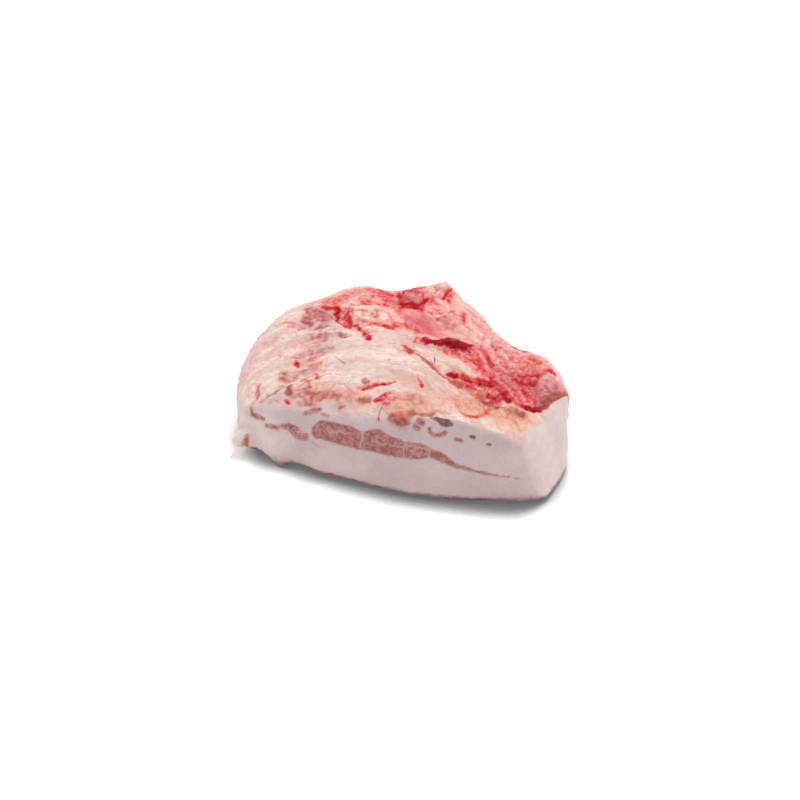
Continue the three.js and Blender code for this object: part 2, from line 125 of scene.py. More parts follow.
# Marks on the trimmed top: what they are, how strong, and x, y and width along each.
TOP_MARKS = [
    # the blood that runs down the left
    ("blood", 1, (-71, 41, 3), (-68, 40.5, 3.4)),
    ("redbrown", 0.9, (-68, 41, 4), (-62, 42, 4)),
    ("blood", 0.9, (-64, 42, 3.4), (-60.5, 41.6, 4.4), (-58, 38, 3.4)),
    ("blood", 0.8, (-60, 37, 2.5), (-57, 32, 3), (-56, 26, 3), (-53, 24, 2.4)),
    ("redbrown", 0.75, (-53, 24, 2.4), (-47, 22, 4), (-40, 21, 2.6)),
    ("blood", 0.9, (-40, 21, 2.6), (-37, 18.5, 2), (-34, 15.5, 3), (-31, 13, 2.4), (-28, 9.5, 4.4),
     (-25, 6, 2)),
    ("blood", 0.7, (-51, 38, 2), (-50, 31, 5), (-47, 27, 4), (-45, 24, 3)),
    ("redbrown", 0.7, (-60, 39, 4), (-55, 32, 8), (-50, 27, 7)),
    ("salmon", 0.9, (-64, 44, 6), (-57, 38, 9), (-46, 30, 8)),
    ("salmon", 0.85, (-76, 42, 3), (-68, 45, 6), (-60, 47, 6), (-52, 45, 4)),
    ("redbrown", 0.6, (-63, 50, 2.6), (-57, 46, 2)),
    ("salmon", 0.8, (-27.5, 32.5, 3.5), (-28.5, 36, 2), (-31, 40, 1.4), (-33, 42, 1)),
    ("redbrown", 0.55, (-42, 34, 3.4)),
    ("brown", 0.75, (-36.5, 28.5, 3), (-38, 31, 2)),
    ("redbrown", 0.5, (-21, 39, 2.6), (-19, 34, 2.4)),
    ("orange", 1.3, (-28, 23, 3), (-20, 22.5, 4), (-14, 22, 5), (-12, 25, 3)),
    ("salmon", 0.7, (-30, 24, 4), (-19, 23, 8), (-10, 21, 8)),
    ("salmon", 0.5, (-34, 19, 3), (-27, 16, 6), (-18, 15, 5)),
    ("lump", 1, (-42, 31, 4), (-38, 29, 5), (-34, 27, 3)),
    ("lump", 0.9, (-46, 42, 4), (-41, 42, 5)),
    ("lump", 0.9, (-35, 40, 3), (-33, 37, 5)),
    ("lump", 0.8, (-26, 36, 4), (-23, 31, 5)),
    ("lump", 0.7, (-38, 52, 3), (-32, 53, 4)),
    ("lump", 0.7, (-14, 34, 4), (-10, 32, 4)),
    ("redbrown", 0.8, (-52, 40, 2), (-48, 37, 4), (-46, 34, 3)),
    ("redbrown", 0.8, (-41, 36, 2), (-34, 35, 2.4), (-30, 32, 2)),
    ("redbrown", 0.8, (-44, 47, 2), (-36, 46, 2.4), (-28, 47, 3)),
    ("redbrown", 0.7, (-16, 42, 2), (-10, 40, 3), (-6, 37, 2)),
    ("orange", 0.85, (4.6, 17.6, 1.6), (4.4, 13.6, 2)),
    ("salmon", 0.7, (4, 20, 2.4), (6, 15, 5), (12, 12, 4)),
    ("blood", 0.9, (0, 3.4, 1.4), (4, -0.4, 3.4), (6.4, -4, 1.4)),
    ("salmon", 0.5, (-4, 4, 3), (4, -1, 7), (10, -7, 4)),
    ("salmon", 0.45, (-18, 12, 3), (-12, 6, 2)),
    ("salmon", 0.75, (18, -8, 2), (25, -13, 4), (31, -18, 5), (36, -20, 4)),
    # muscle that shows through the fat on the left
    ("mauve", 1, (-81, 29, 5), (-77, 23, 8), (-72, 18, 5)),
    ("raw", 0.55, (-81, 28, 4), (-77.5, 22, 6), (-74, 18, 4)),
    ("raw", 0.35, (-79, 37, 3), (-73, 38, 5), (-68, 35, 3)),
    ("salmon", 0.6, (-80, 33, 4), (-74, 30, 6), (-68, 31, 5)),
    ("mauve", 0.95, (-80, 38, 8), (-74, 32, 11), (-67, 28, 10)),
    ("mauve", 0.9, (-72, 37, 6), (-68, 33, 4)),
    ("mauve", 0.6, (-67, 38, 6), (-62, 29, 9)),
    ("mauve", 0.55, (-68, 4, 5), (-58, 6, 7), (-50, 10, 4)),
    ("mauve", 0.4, (-66, -6, 4), (-56, -2, 6), (-50, 2, 4)),
    ("mauve", 0.5, (-66, -21, 4), (-58, -17, 6), (-52, -12, 4)),
    ("mauve", 0.5, (-58, -10, 3), (-50, -6, 5)),
    ("mauve", 0.5, (-68, -31, 5), (-60, -32, 7), (-53, -29, 5)),
    ("mauve", 0.45, (-76, 14, 4), (-66, 20, 8), (-58, 22, 8)),
    ("salmon", 0.55, (-94, 21, 4), (-86, 17.5, 7), (-78, 15, 7)),
    ("mauve", 0.35, (-94, 22, 4), (-84, 18, 8), (-76, 14, 6)),
    ("mauve", 1, (-66.5, 12.5, 5), (-63, 17, 6)),
    ("mauve", 0.4, (-58, 10, 4), (-54, 14, 6)),
    ("pale", 0.8, (-70, 7.6, 1.4), (-62, 7.4, 1.6), (-55, 9, 1.6), (-50, 12, 1.2)),
    ("mauve", 0.45, (-72, 11, 2), (-68, 9.4, 2), (-62, 9, 1.6)),
    ("mauve", 0.95, (-48.6, 8.8, 5.4), (-44, 7, 6)),
    ("mauve", 0.8, (-68, 2, 2), (-62, 4.4, 3)),
    ("mauve", 0.75, (-56, 7, 2.2), (-58.5, 1, 2)),
    ("mauve", 0.5, (-70, -14, 5), (-61, -12, 7), (-56, -10, 5)),
    ("salmon", 0.5, (-78, -4, 3), (-76, -6, 3), (-86, -9, 2.4)),
    ("salmon", 0.9, (-75, -17, 3), (-70.5, -17, 2.6)),
    ("blood", 0.95, (-71.8, -20.5, 1.8), (-70, -23.5, 3.4), (-67.8, -26.5, 1.4)),
    ("plum", 0.4, (-71, -23, 3.4), (-68, -26.6, 2.4)),
    ("salmon", 0.5, (-62, -18, 6), (-57, -23, 12), (-56, -29, 6)),
    ("mauve", 0.75, (-76, -34, 7), (-74, -40, 9)),
    ("mauve", 0.6, (-69, -31, 4), (-67, -37, 5), (-70, -43, 4)),
    ("mauve", 0.5, (-66, -24, 4), (-60, -26, 6), (-54, -24, 4)),
    ("salmon", 0.6, (-48, -31.5, 3), (-42, -30.5, 2)),
    ("salmon", 0.7, (-60, -40, 5), (-56, -42, 5), (-54, -46, 3)),
    ("blood", 0.9, (-51.3, -35.5, 1.4), (-50.6, -38, 2.4), (-51, -40, 1)),
    ("salmon", 0.6, (-54, -34, 3), (-50, -38, 6)),
    ("salmon", 0.35, (-39, -38, 6)),
    ("redbrown", 0.5, (-91, -46, 3), (-89.5, -52, 4.6), (-88, -59, 3.4), (-91, -64, 2)),
    ("raw", 0.5, (-91, -47, 2), (-89.5, -52, 3.4), (-88, -58, 2)),
    ("mauve", 0.6, (-84, -60, 2.6), (-78, -54.5, 2.4), (-72, -48, 2.2)),
    ("brown", 0.5, (-77, -59, 4), (-73, -58.6, 5)),
    ("redbrown", 0.5, (-67.4, -48.5, 4), (-66.8, -52.5, 5.4)),
    ("raw", 0.8, (-67.2, -47.4, 4), (-67, -52.4, 6)),
    ("blood", 0.95, (-68, -57.6, 1.6), (-65.6, -59.2, 2.8), (-63.8, -60.4, 1.4)),
    ("redbrown", 0.4, (-54, -50.6, 3.6), (-51, -51.6, 4)),
    ("raw", 0.7, (-54.6, -50, 4), (-51, -51.4, 4.6)),
    ("mauve", 0.7, (-56, -60.6, 3), (-51, -59.6, 4.4), (-46, -61, 3)),
    ("raw", 0.85, (-51, -65.4, 1.6), (-47, -64.6, 3.4), (-41, -63.6, 1.8)),
    ("raw", 0.6, (-39, -66, 1.8), (-35, -67, 1.6)),
    ("brown", 0.8, (-30, -61, 2.2), (-26, -61, 3)),
    ("salmon", 0.4, (-52, -47, 2), (-42, -46, 1.8), (-34, -44.5, 2.2), (-28, -47, 2.2), (-18, -49, 2)),
    ("salmon", 0.5, (-50, -56, 4), (-38, -58, 5), (-24, -59, 4)),
    ("mauve", 0.55, (-56, -50, 4), (-44, -54, 6), (-30, -56, 5)),
    ("salmon", 0.5, (-104, 0, 3), (-101, -1, 4)),
    ("salmon", 0.5, (-97, -20, 3), (-94.5, -25, 3)),
    ("salmon", 0.45, (-88, -10, 3), (-85.5, -14, 4), (-84.5, -18, 2)),
    # marks along the front edge
    ("brown", 1, (-14.6, -56, 5), (-10.4, -55.8, 6)),
    ("brown", 1.2, (-18, -37.6, 3.6), (-15.5, -39.4, 4.4)),
    ("blood", 1.05, (-15.6, -45.8, 3), (-11.6, -44.2, 5), (-7, -42, 3.6), (-2, -40, 1.8), (4, -37.4, 0.9)),
    ("salmon", 0.7, (-20, -45, 3), (-12, -43, 7), (-2, -40, 4), (6, -37, 2)),
    ("blood", 1, (-3.8, -54.4, 4), (0, -52.4, 5), (1.6, -49, 3)),
    ("redbrown", 0.7, (3, -53, 4), (8, -52, 4)),
    ("plum", 0.6, (1, -57, 2.4), (4, -57.6, 4.4), (8, -55, 3)),
    ("redbrown", 0.5, (9, -52, 3), (11, -54, 3)),
    ("brown", 0.2, (6, -50, 6), (14, -52, 9), (24, -55, 8)),
    ("brown", 0.25, (14, -47, 6), (20, -50, 8), (26, -53, 5)),
    ("brown", 0.9, (22, -63, 4), (28, -63, 5), (36, -63.4, 4)),
    ("raw", 0.5, (24, -63, 2), (30, -63, 2.4), (35, -63.6, 1.6)),
    ("brown", 0.6, (9, -66, 3), (14, -67, 5), (21, -66, 4)),
    ("brown", 0.35, (8, -61, 4), (14, -61, 6), (20, -61, 5)),
    ("raw", 0.6, (7, -65, 2), (12, -68, 4.4), (19, -69, 5), (24, -65, 2.4)),
    ("orange", 0.7, (9, -64.6, 4), (15, -65.6, 6), (22, -64.6, 4)),
    ("pale", 0.5, (10, -65, 1), (15, -66.4, 1.2), (20, -65.6, 1)),
    ("brown", 0.55, (27, -62, 4), (34, -61.6, 5), (40, -60, 4.4)),
    ("brown", 0.4, (40, -59.4, 4), (46, -60, 4)),
    ("salmon", 0.45, (40, -59, 3), (46, -61, 3)),
    ("raw", 0.9, (36.2, -61, 1.8), (37, -61.4, 2)),
    ("blood", 0.9, (21.3, -35.4, 1.4), (22.6, -37.8, 2.6)),
    ("orange", 0.65, (17, -28, 2), (19.5, -32, 2.4), (21.6, -36, 3)),
    # the loop in front of the blood
    ("brown", 0.6, (36, -20, 1.4), (40, -25, 1.6), (46, -30, 1.6)),
    ("loop", 1, (69, -39, 3), (70, -46, 2.4), (69.4, -53, 2.2), (65, -57.4, 2.2), (59, -59, 2),
     (55, -57, 1.4)),
    ("loop", 0.65, (49.5, -49.5, 1.4), (52, -55, 1.6), (56, -58, 1.4)),
    ("salmon", 0.45, (50, -52, 3), (58, -58, 5), (68, -55, 5), (70, -44, 5)),
    # the clot and the blood under it
    ("clot", 1, (15.6, 13.6, 3), (21, 13, 5), (30, 13.8, 6.4), (38, 16.6, 5.8), (43, 19.8, 3)),
    ("blood", 0.9, (10.6, 15.4, 4.4), (14, 13.6, 4.4)),
    ("blood", 1.3, (15, 13.4, 3.4), (20, 12.6, 3.6), (28, 12, 3.4), (34, 12.4, 3.4), (39, 14, 4),
     (43, 18, 2)),
    ("redbrown", 0.8, (42, 18, 6), (48, 13, 7), (53, 7, 6)),
    ("salmon", 0.8, (40, 12, 8), (48, 6, 9), (55, -2, 8)),
    ("redbrown", 0.9, (22, 9, 2.4), (28, 8, 4), (36, 8.4, 5), (43, 8, 6), (50, 3, 6)),
    ("salmon", 0.6, (30, 5, 3), (40, 3, 7), (52, -4, 8)),
    ("salmon", 0.4, (46, -4, 6), (54, -9, 6)),
    ("blood", 0.6, (43, 23, 0.8), (49, 19.5, 1), (54, 15, 1.2), (58, 10.5, 1.4), (61, 5, 1)),
    ("blood", 0.6, (61, 5, 1), (63, 0, 1.4), (65.4, -6, 1.8)),
    ("blood", 0.8, (65, -4, 2), (64.6, -10, 3), (64, -17, 3)),
    ("blood", 0.6, (56.6, 28, 1.6), (58, 25, 2.6), (60, 21, 2)),
    ("redbrown", 0.7, (60, 21, 2), (61, 17, 1.6), (64, 13.5, 1.4), (68, 12.5, 1.2)),
    ("redbrown", 0.8, (50, 21, 3), (56, 17, 4), (58, 12, 3)),
    ("redbrown", 0.8, (52, 2, 5), (56, -4, 6), (60, -8, 5)),
    # the crevice between the cream lobes
    ("blood", 1, (35.6, -17.4, 2.4), (39, -17, 4), (42, -16.6, 3)),
    ("salmon", 0.7, (43, -16.6, 3), (47, -17, 3)),
    ("blood", 1, (46, -16.6, 3), (50, -17.4, 5.4), (55, -18, 5)),
    ("blood", 1, (47.6, -26, 3), (52, -27.6, 6), (56.6, -30, 5.4)),
    ("blood", 1.15, (56, -15, 3), (60, -16.4, 6), (65, -17, 5)),
    ("redbrown", 0.7, (62, -20, 4), (67, -23, 5)),
    ("blood", 0.95, (65, -24.6, 3), (70, -27.4, 4), (76, -27.6, 4), (78.6, -23, 3)),
    ("blood", 1.05, (66, -27, 4), (70, -29.6, 6), (75, -31, 4)),
    ("blood", 1, (69.6, -30, 5), (70.6, -34.6, 4), (69.6, -39, 3)),
    ("redbrown", 0.7, (76, -30.6, 3), (82, -31, 2.4), (88, -30.4, 3)),
    ("redbrown", 0.9, (72, -33.4, 3), (76, -34, 4)),
    ("blood", 1.2, (77, -30, 3), (80, -30, 4), (83, -28, 3)),
    ("blood", 1.25, (88, -32, 2), (92, -33.4, 3.4), (97, -35, 5), (101.6, -33.4, 4.6), (105.6, -28.6, 2.4)),
    ("salmon", 0.8, (38, -22, 4), (44, -26, 6), (50, -30, 4)),
    ("raw", 0.45, (37.6, -22.6, 3), (42, -26.4, 3.4), (48, -29.6, 3)),
    ("brown", 0.6, (38, -22, 3), (42, -25, 5), (47, -28, 3)),
    ("brown", 0.5, (57, -24, 4), (62, -27, 5), (66.6, -33, 4)),
    ("salmon", 0.8, (55, -33, 3), (60, -37, 4), (66, -38, 3)),
    ("brown", 0.3, (52, -34, 4), (58, -37, 6), (64, -40, 5)),
    ("pale", 0.4, (57.4, -22, 3), (62, -23, 4)),
    ("brown", 0.35, (56, -21, 4), (62, -23, 6)),
    ("pale", 0.7, (68, -21, 3), (74, -22, 4)),
    ("raw", 0.8, (63, -38.4, 1.6), (66, -39, 3), (69, -39.6, 3.4)),
    ("redbrown", 0.4, (56, -28.6, 1.4), (60, -31, 1.4), (62, -34, 1.2)),
    ("salmon", 0.9, (60, -30, 4), (63, -35, 6)),
    ("brown", 0.7, (61, -32, 5), (64, -36, 6)),
    # the mottled red mass on the right
    ("blood", 1, (81, -1.4, 2), (87, -2, 3.4), (93, 0.4, 2.6)),
    ("blood", 1.05, (73, -1, 1.6), (77, -3.6, 2), (82, -6, 2.4), (86, -9.6, 3)),
    ("blood", 1.05, (84, -5, 3), (89, -7.6, 5.4), (93, -10, 4.6), (94, -5, 3)),
    ("redbrown", 0.7, (92, -4, 6), (90, -12, 6)),
    ("blood", 0.95, (99, 5, 2), (102, 6, 4), (105, 4, 3)),
    ("redbrown", 0.9, (93, -2, 3), (97, 1, 3), (101, 4, 3)),
    ("redbrown", 0.8, (82, -12, 3), (86, -17, 4), (91, -21, 4)),
    ("redbrown", 0.85, (76, -28, 4), (86, -27, 6), (96, -29, 8)),
    ("blood", 0.8, (64, -6, 2), (67, -12, 2.4), (69, -18, 2)),
    ("redbrown", 0.6, (70, 6, 2), (76, 3, 2), (82, 5, 2)),
    ("plum", 0.35, (72, 18, 2.4), (74, 14, 2.6)),
    ("plum", 0.35, (76, 24, 2.6), (78, 20, 2)),
    ("mauve", 0.45, (74, -8, 6), (80, -14, 8)),
    ("mauve", 0.4, (82, 0, 5), (78, 6, 6)),
    ("pale", 0.5, (70, -12, 4), (73, -16, 4)),
    ("pale", 0.4, (76, -12, 4), (80, -16, 4)),
    ("pale", 0.7, (55, 19, 2), (58.6, 15, 4), (60.6, 12, 2)),
    ("pale", 0.3, (62, 26, 2), (66, 22, 2.4)),
    ("pale", 0.35, (84, -28, 2.4), (90, -27, 2.4)),
    ("pale", 0.35, (80, -20, 3), (84, -24, 3)),
    ("salmon", 0.4, (84, 18, 8), (90, 12, 10)),
    # the tongue that hangs over the right cut
    ("raw", 0.35, (92, -14, 6), (98, -17, 10), (106, -16, 10)),
    ("wet", 0.7, (97, -4, 7), (104, -5, 9), (109, -7, 7)),
    ("pale", 0.8, (99, -2.6, 4), (104, -4, 6), (108, -5.6, 5)),
    ("pale", 0.3, (97, -8, 2), (102, -9, 2.4)),
    ("raw", 0.3, (106, -8, 1.6), (109, -11.6, 2), (112.6, -10.4, 2), (113, -7, 1.4)),
    ("raw", 0.6, (119, -9, 3), (114, -17, 3), (109, -23, 3), (104, -27, 3)),
    ("redbrown", 0.6, (96, -24, 6), (101, -27, 6), (106, -24, 4)),
    ("plum", 0.4, (118, -10, 3), (113.4, -19, 3), (107.6, -26, 3)),
    # the cream lumps in front of it
    ("brown", 0.9, (71, -39, 5), (74.6, -40, 6), (78, -42, 4)),
    ("raw", 0.7, (70, -38.4, 2.4), (75, -39.6, 3), (78, -42, 2)),
    ("raw", 0.7, (88.4, -44, 3), (92.6, -43, 4)),
    ("brown", 0.6, (85, -42, 5), (88, -42.8, 5)),
    ("brown", 0.8, (90, -42.4, 6), (93.4, -41.2, 4)),
    ("salmon", 0.5, (88, -44, 3), (92, -46, 4), (95, -42, 4)),
    # the pale mark on the big cream lump's top is a painted highlight
    ("pale", 1, (78.6, -36, 6), (82.4, -39, 9)),
    ("salmon", 0.5, (90, -63, 5), (93, -67, 5)),
    ("salmon", 0.5, (100, -40, 4), (97, -47, 3)),
    ("salmon", 0.4, (84, -50, 3), (92, -52, 4), (95, -58, 4)),
    # the rear edge and its knob
    ("blood", 0.9, (-30, 64, 2.4), (-26, 61, 4.4), (-22, 64, 2.6), (-20, 68, 2.6), (-15, 71, 3)),
    ("orange", 0.95, (-37, 72, 6), (-32, 67, 9), (-27, 60, 6)),
    ("redbrown", 0.7, (-44, 70, 6), (-36, 64, 8), (-30, 57, 5)),
    ("blood", 0.9, (-19.6, 64, 2), (-18.4, 57, 2.4), (-15, 53, 3.4), (-9, 52.2, 3.4), (-3, 54, 2.8)),
    ("blood", 0.9, (-3, 54, 3.4), (-0.6, 60, 2.6), (1, 63, 2.2)),
    ("blood", 0.85, (-16, 52, 2.4), (-15, 47, 3.4), (-13.6, 44, 2)),
    ("blood", 0.8, (-1, 57, 2), (-0.6, 51, 5), (0, 47, 2.6)),
    ("redbrown", 0.85, (-12, 49, 6), (-6, 48, 5), (2, 46, 4)),
    ("plum", 0.95, (-13, 73, 6), (-13, 66, 4), (-14, 61, 2)),
    ("blood", 0.95, (-9, 71, 5), (-8, 65, 4)),
    ("redbrown", 0.8, (4, 62, 4), (10, 58, 3)),
    ("blood", 0.95, (15, 77, 2.2), (13, 70, 3), (12, 65, 2.2)),
    ("orange", 0.85, (16.6, 72, 5), (16, 64, 4)),
    ("redbrown", 0.7, (-2, 47, 3), (5, 44.4, 3.4), (12, 44.4, 3), (18, 47, 2.4)),
    ("redbrown", 0.6, (22, 55, 5), (19, 50, 3.4)),
    ("redbrown", 0.75, (29.6, 53, 2), (31.6, 46, 3), (33, 43, 1.6)),
    ("redbrown", 0.4, (26, 66, 3), (31, 58, 3)),
    ("pale", 0.9, (0, 77, 5), (3, 69, 4), (8, 65, 3)),
    ("pale", 0.7, (8, 79, 3), (10, 72, 3)),
    ("pale", 0.6, (14, 56, 6), (18, 60, 4)),
]

# Thin lines on the top: what they are, how strong, and x, y and width along each.
TOP_LINES = [
    ("red_line", 1, (-2, 4, 1), (0, 2, 1.4), (6, -1, 1.5), (11, -3, 1.8), (17, -7, 2.2), (21, -10.5, 2.2)),
    ("red_line", 1, (21, -10.5, 2.2), (26, -15, 2), (30, -18.5, 1.8), (35, -20.5, 1.4)),
    ("red_line", 0.5, (-2, -1, 0.8), (3, 0, 1), (8, 1, 0.8)),
    ("red_line", 0.7, (-60, -46, 0.9), (-54, -41, 1), (-49, -37, 1), (-42, -34, 0.8)),
    ("red_line", 0.5, (-64, -42, 0.8), (-57, -37, 0.9), (-52, -33, 0.8)),
    ("red_line", 0.5, (-34, -44, 0.8), (-30, -43.4, 1), (-26, -47, 1), (-20, -50, 0.8)),
    ("red_line", 0.6, (-66, -51, 0.8), (-58, -49, 1), (-52, -46, 0.8)),
    ("red_line", 0.8, (1.4, -58, 1), (0.5, -64, 1.2), (1, -68, 1.6)),
    ("red_line", 0.5, (48, -48, 0.8), (50, -54, 1), (56, -59, 1)),
    ("red_line", 0.6, (63, -14, 0.9), (62, -24, 1), (60, -36, 0.8)),
    ("red_line", 0.8, (71, 0, 1), (77, -3.4, 1.2), (83.6, -8, 1)),
    ("red_line", 0.6, (66, 6, 0.9), (72, 4, 1), (80, 5, 0.8)),
    ("red_line", 0.6, (70, -6, 0.9), (76, -10, 1), (80, -18, 0.8)),
    ("red_line", 0.6, (44, 12, 0.9), (51, 6, 1), (56, -2, 0.9)),
    ("red_line", 0.6, (36, 8, 0.9), (46, 0, 1), (54, -9, 0.9)),
    ("dark_line", 0.3, (-46, -19.5, 0.8), (-44, -19, 0.8), (-38, -21, 1.1), (-36, -23, 1)),
    ("dark_line", 0.3, (-4, -20.5, 0.8), (2, -21.5, 0.9), (8, -19.5, 0.8)),
    ("dark_line", 0.8, (23.2, -5, 0.8), (24.4, -9, 1)),
    ("dark_line", 0.4, (-51, 45, 0.8), (-46, 44.6, 1), (-40, 46, 0.8)),
    ("dark_line", 0.4, (3, 74, 0.9), (6.4, 70, 1.2), (4.6, 66.6, 0.9)),
    ("red_line", 0.5, (36, -20, 1), (40, -25.4, 1.2), (46, -30, 1.2)),
    ("dark_line", 0.25, (-30, -7, 0.8), (-24, -5, 0.9), (-16, -8, 0.8)),
    ("dark_line", 0.25, (-66, -2, 0.8), (-58, 1, 0.9), (-52, 6, 0.8)),
    ("dark_line", 0.12, (-83, -58, 0.8), (-77, -53.6, 1), (-70, -47, 0.8)),
]

# Wide tints of the top, by field: how strong, middle, half sizes and turn in degrees.
TOP_TINTS = {
    "blood": [
        (0.62, -40, 62, 36, 20, 6), (0.9, -32, 53, 26, 12, 4), (0.48, -34, 44, 24, 14, 4),
        (0.6, -30, 29, 18, 12, 0), (0.8, 13, 34, 20, 13, -26), (0.22, -20, -50, 70, 15, 0),
        (0.25, 30, -50, 40, 12, -8), (0.8, 110, -20, 22, 10, 50), (0.68, -10, 30, 18, 12, 0),
        (0.25, 20, -8, 20, 8, -36), (0.8, -64, 51, 20, 11, 30), (0.9, -14, 66, 22, 24, 0),
        (0.95, -20, 52, 24, 12, -6), (0.85, -8, 40, 18, 11, -20), (0.52, 10, 62, 24, 26, 0),
        (1.0, 2, 32, 26, 16, -24), (0.5, 18, 38, 28, 14, -24), (0.5, 40, 46, 20, 34, 40),
        (0.95, 79, 31, 14, 10, 0), (0.5, 46, 30, 30, 20, -30), (0.6, 32, 20, 20, 12, -14),
        (0.6, 68, 24, 28, 20, -32), (0.88, 82, 6, 28, 28, -38), (1.05, 81, -15, 30, 22, -25),
        (0.9, 68, 3, 13, 12, 0), (0.75, 76, 18, 16, 12, -30), (0.85, 60, 0, 14, 24, 20),
        (0.6, 40, 4, 18, 9, -10), (0.55, 104, -10, 20, 20, 20), (0.3, 48, -30, 22, 9, -26),
        (0.15, 46, -10, 18, 7, -16), (0.4, 61, -28, 8, 10, 0), (0.75, 10, 52, 13, 8, 0),
        (0.62, 24, 45, 16, 10, 0), (1.0, 8, 36, 18, 9, -30), (0.24, 90, -50, 30, 20, 0),
        (0.34, -108, -10, 14, 70, 0), (0.12, -90, 30, 24, 26, 40), (0.36, 72, -46, 56, 12, -2),
    ],
    "raw": [
        (0.95, 111, -20, 23, 10, 50), (0.45, 103, -17, 20, 13, 40),
    ],
    "muscle": [
        (0.5, 104, -12, 16, 16, 40), (0.45, 61, -28, 8, 10, 0), (0.35, 62, -46, 62, 13, -5),
        (0.42, 84, -10, 34, 28, -30), (0.4, 18, -52, 22, 12, 0), (0.3, 60, -30, 14, 12, 0),
        (0.6, -42, -55, 44, 11, 0), (0.35, 14, -58, 34, 12, 0), (0.25, -68, -8, 20, 26, 0),
        (0.3, -74, 22, 22, 18, 0),
    ],
    "warm": [
        (0.4, 42, -11, 18, 8, -16), (-0.6, -108, -10, 14, 70, 0), (0.6, 92, -54, 30, 18, -10),
        (0.4, 56, -46, 50, 12, -5), (0.4, 64, -56, 30, 13, -10), (0.3, 24, 42, 14, 8, 0),
        (0.7, 18, -58, 30, 14, 0), (0.5, -28, -54, 36, 10, 0), (0.4, 18, -36, 20, 12, -30),
        (0.3, -68, -30, 16, 20, 10), (0.5, 88, 14, 18, 14, -30), (0.4, 34, 58, 10, 22, 34),
        (-0.6, -70, -58, 20, 7, 4), (-0.7, 44, -64, 20, 5, 0), (-0.6, -24, -63, 24, 4, 0),
        (-0.5, -62, 18, 20, 12, 0), (-0.5, 4, 33, 24, 14, -30), (-0.3, 68, 24, 22, 16, -32),
        (-0.8, 0, -54, 10, 8, 0), (-0.4, -30, -40, 12, 6, 0), (-0.4, 104, -6, 10, 14, 0),
    ],
    "pale": [
        # the first lifts the hollow's rear wall, which faces away from the key light: painted light
        (0.5, 24, 43, 13, 9, -20), (0.4, -30, -16, 40, 20, 0), (0.6, -18, -28, 20, 9, 0),
        (0.7, -34, 4, 34, 16, 0), (0.3, 40, -8, 18, 7, -16), (0.4, -88, -40, 12, 18, 0),
        (0.3, -94, 40, 16, 14, 45),
    ],
    "mottle": [
        (1.0, -74, -10, 40, 60, 0), (1.0, 0, -54, 110, 16, 0), (0.8, 60, -44, 60, 22, 0),
        (0.5, -20, 20, 40, 30, 0), (0.8, 70, 10, 60, 60, 0), (0.6, -20, 60, 70, 26, 0),
    ],
    "crumbly": [
        (1.0, -56, 33, 15, 14, 0), (1.0, -36, 16, 15, 10, -40), (0.7, -38, 36, 16, 10, 0),
        (0.7, 84, -10, 26, 24, -20), (0.5, 60, -20, 12, 16, 0), (0.5, -52, -42, 16, 16, 0),
    ],
    "smooth": [
        (1.0, 10, 32, 26, 13, -28), (1.0, -5, 39, 17, 10, -25),
    ],
}

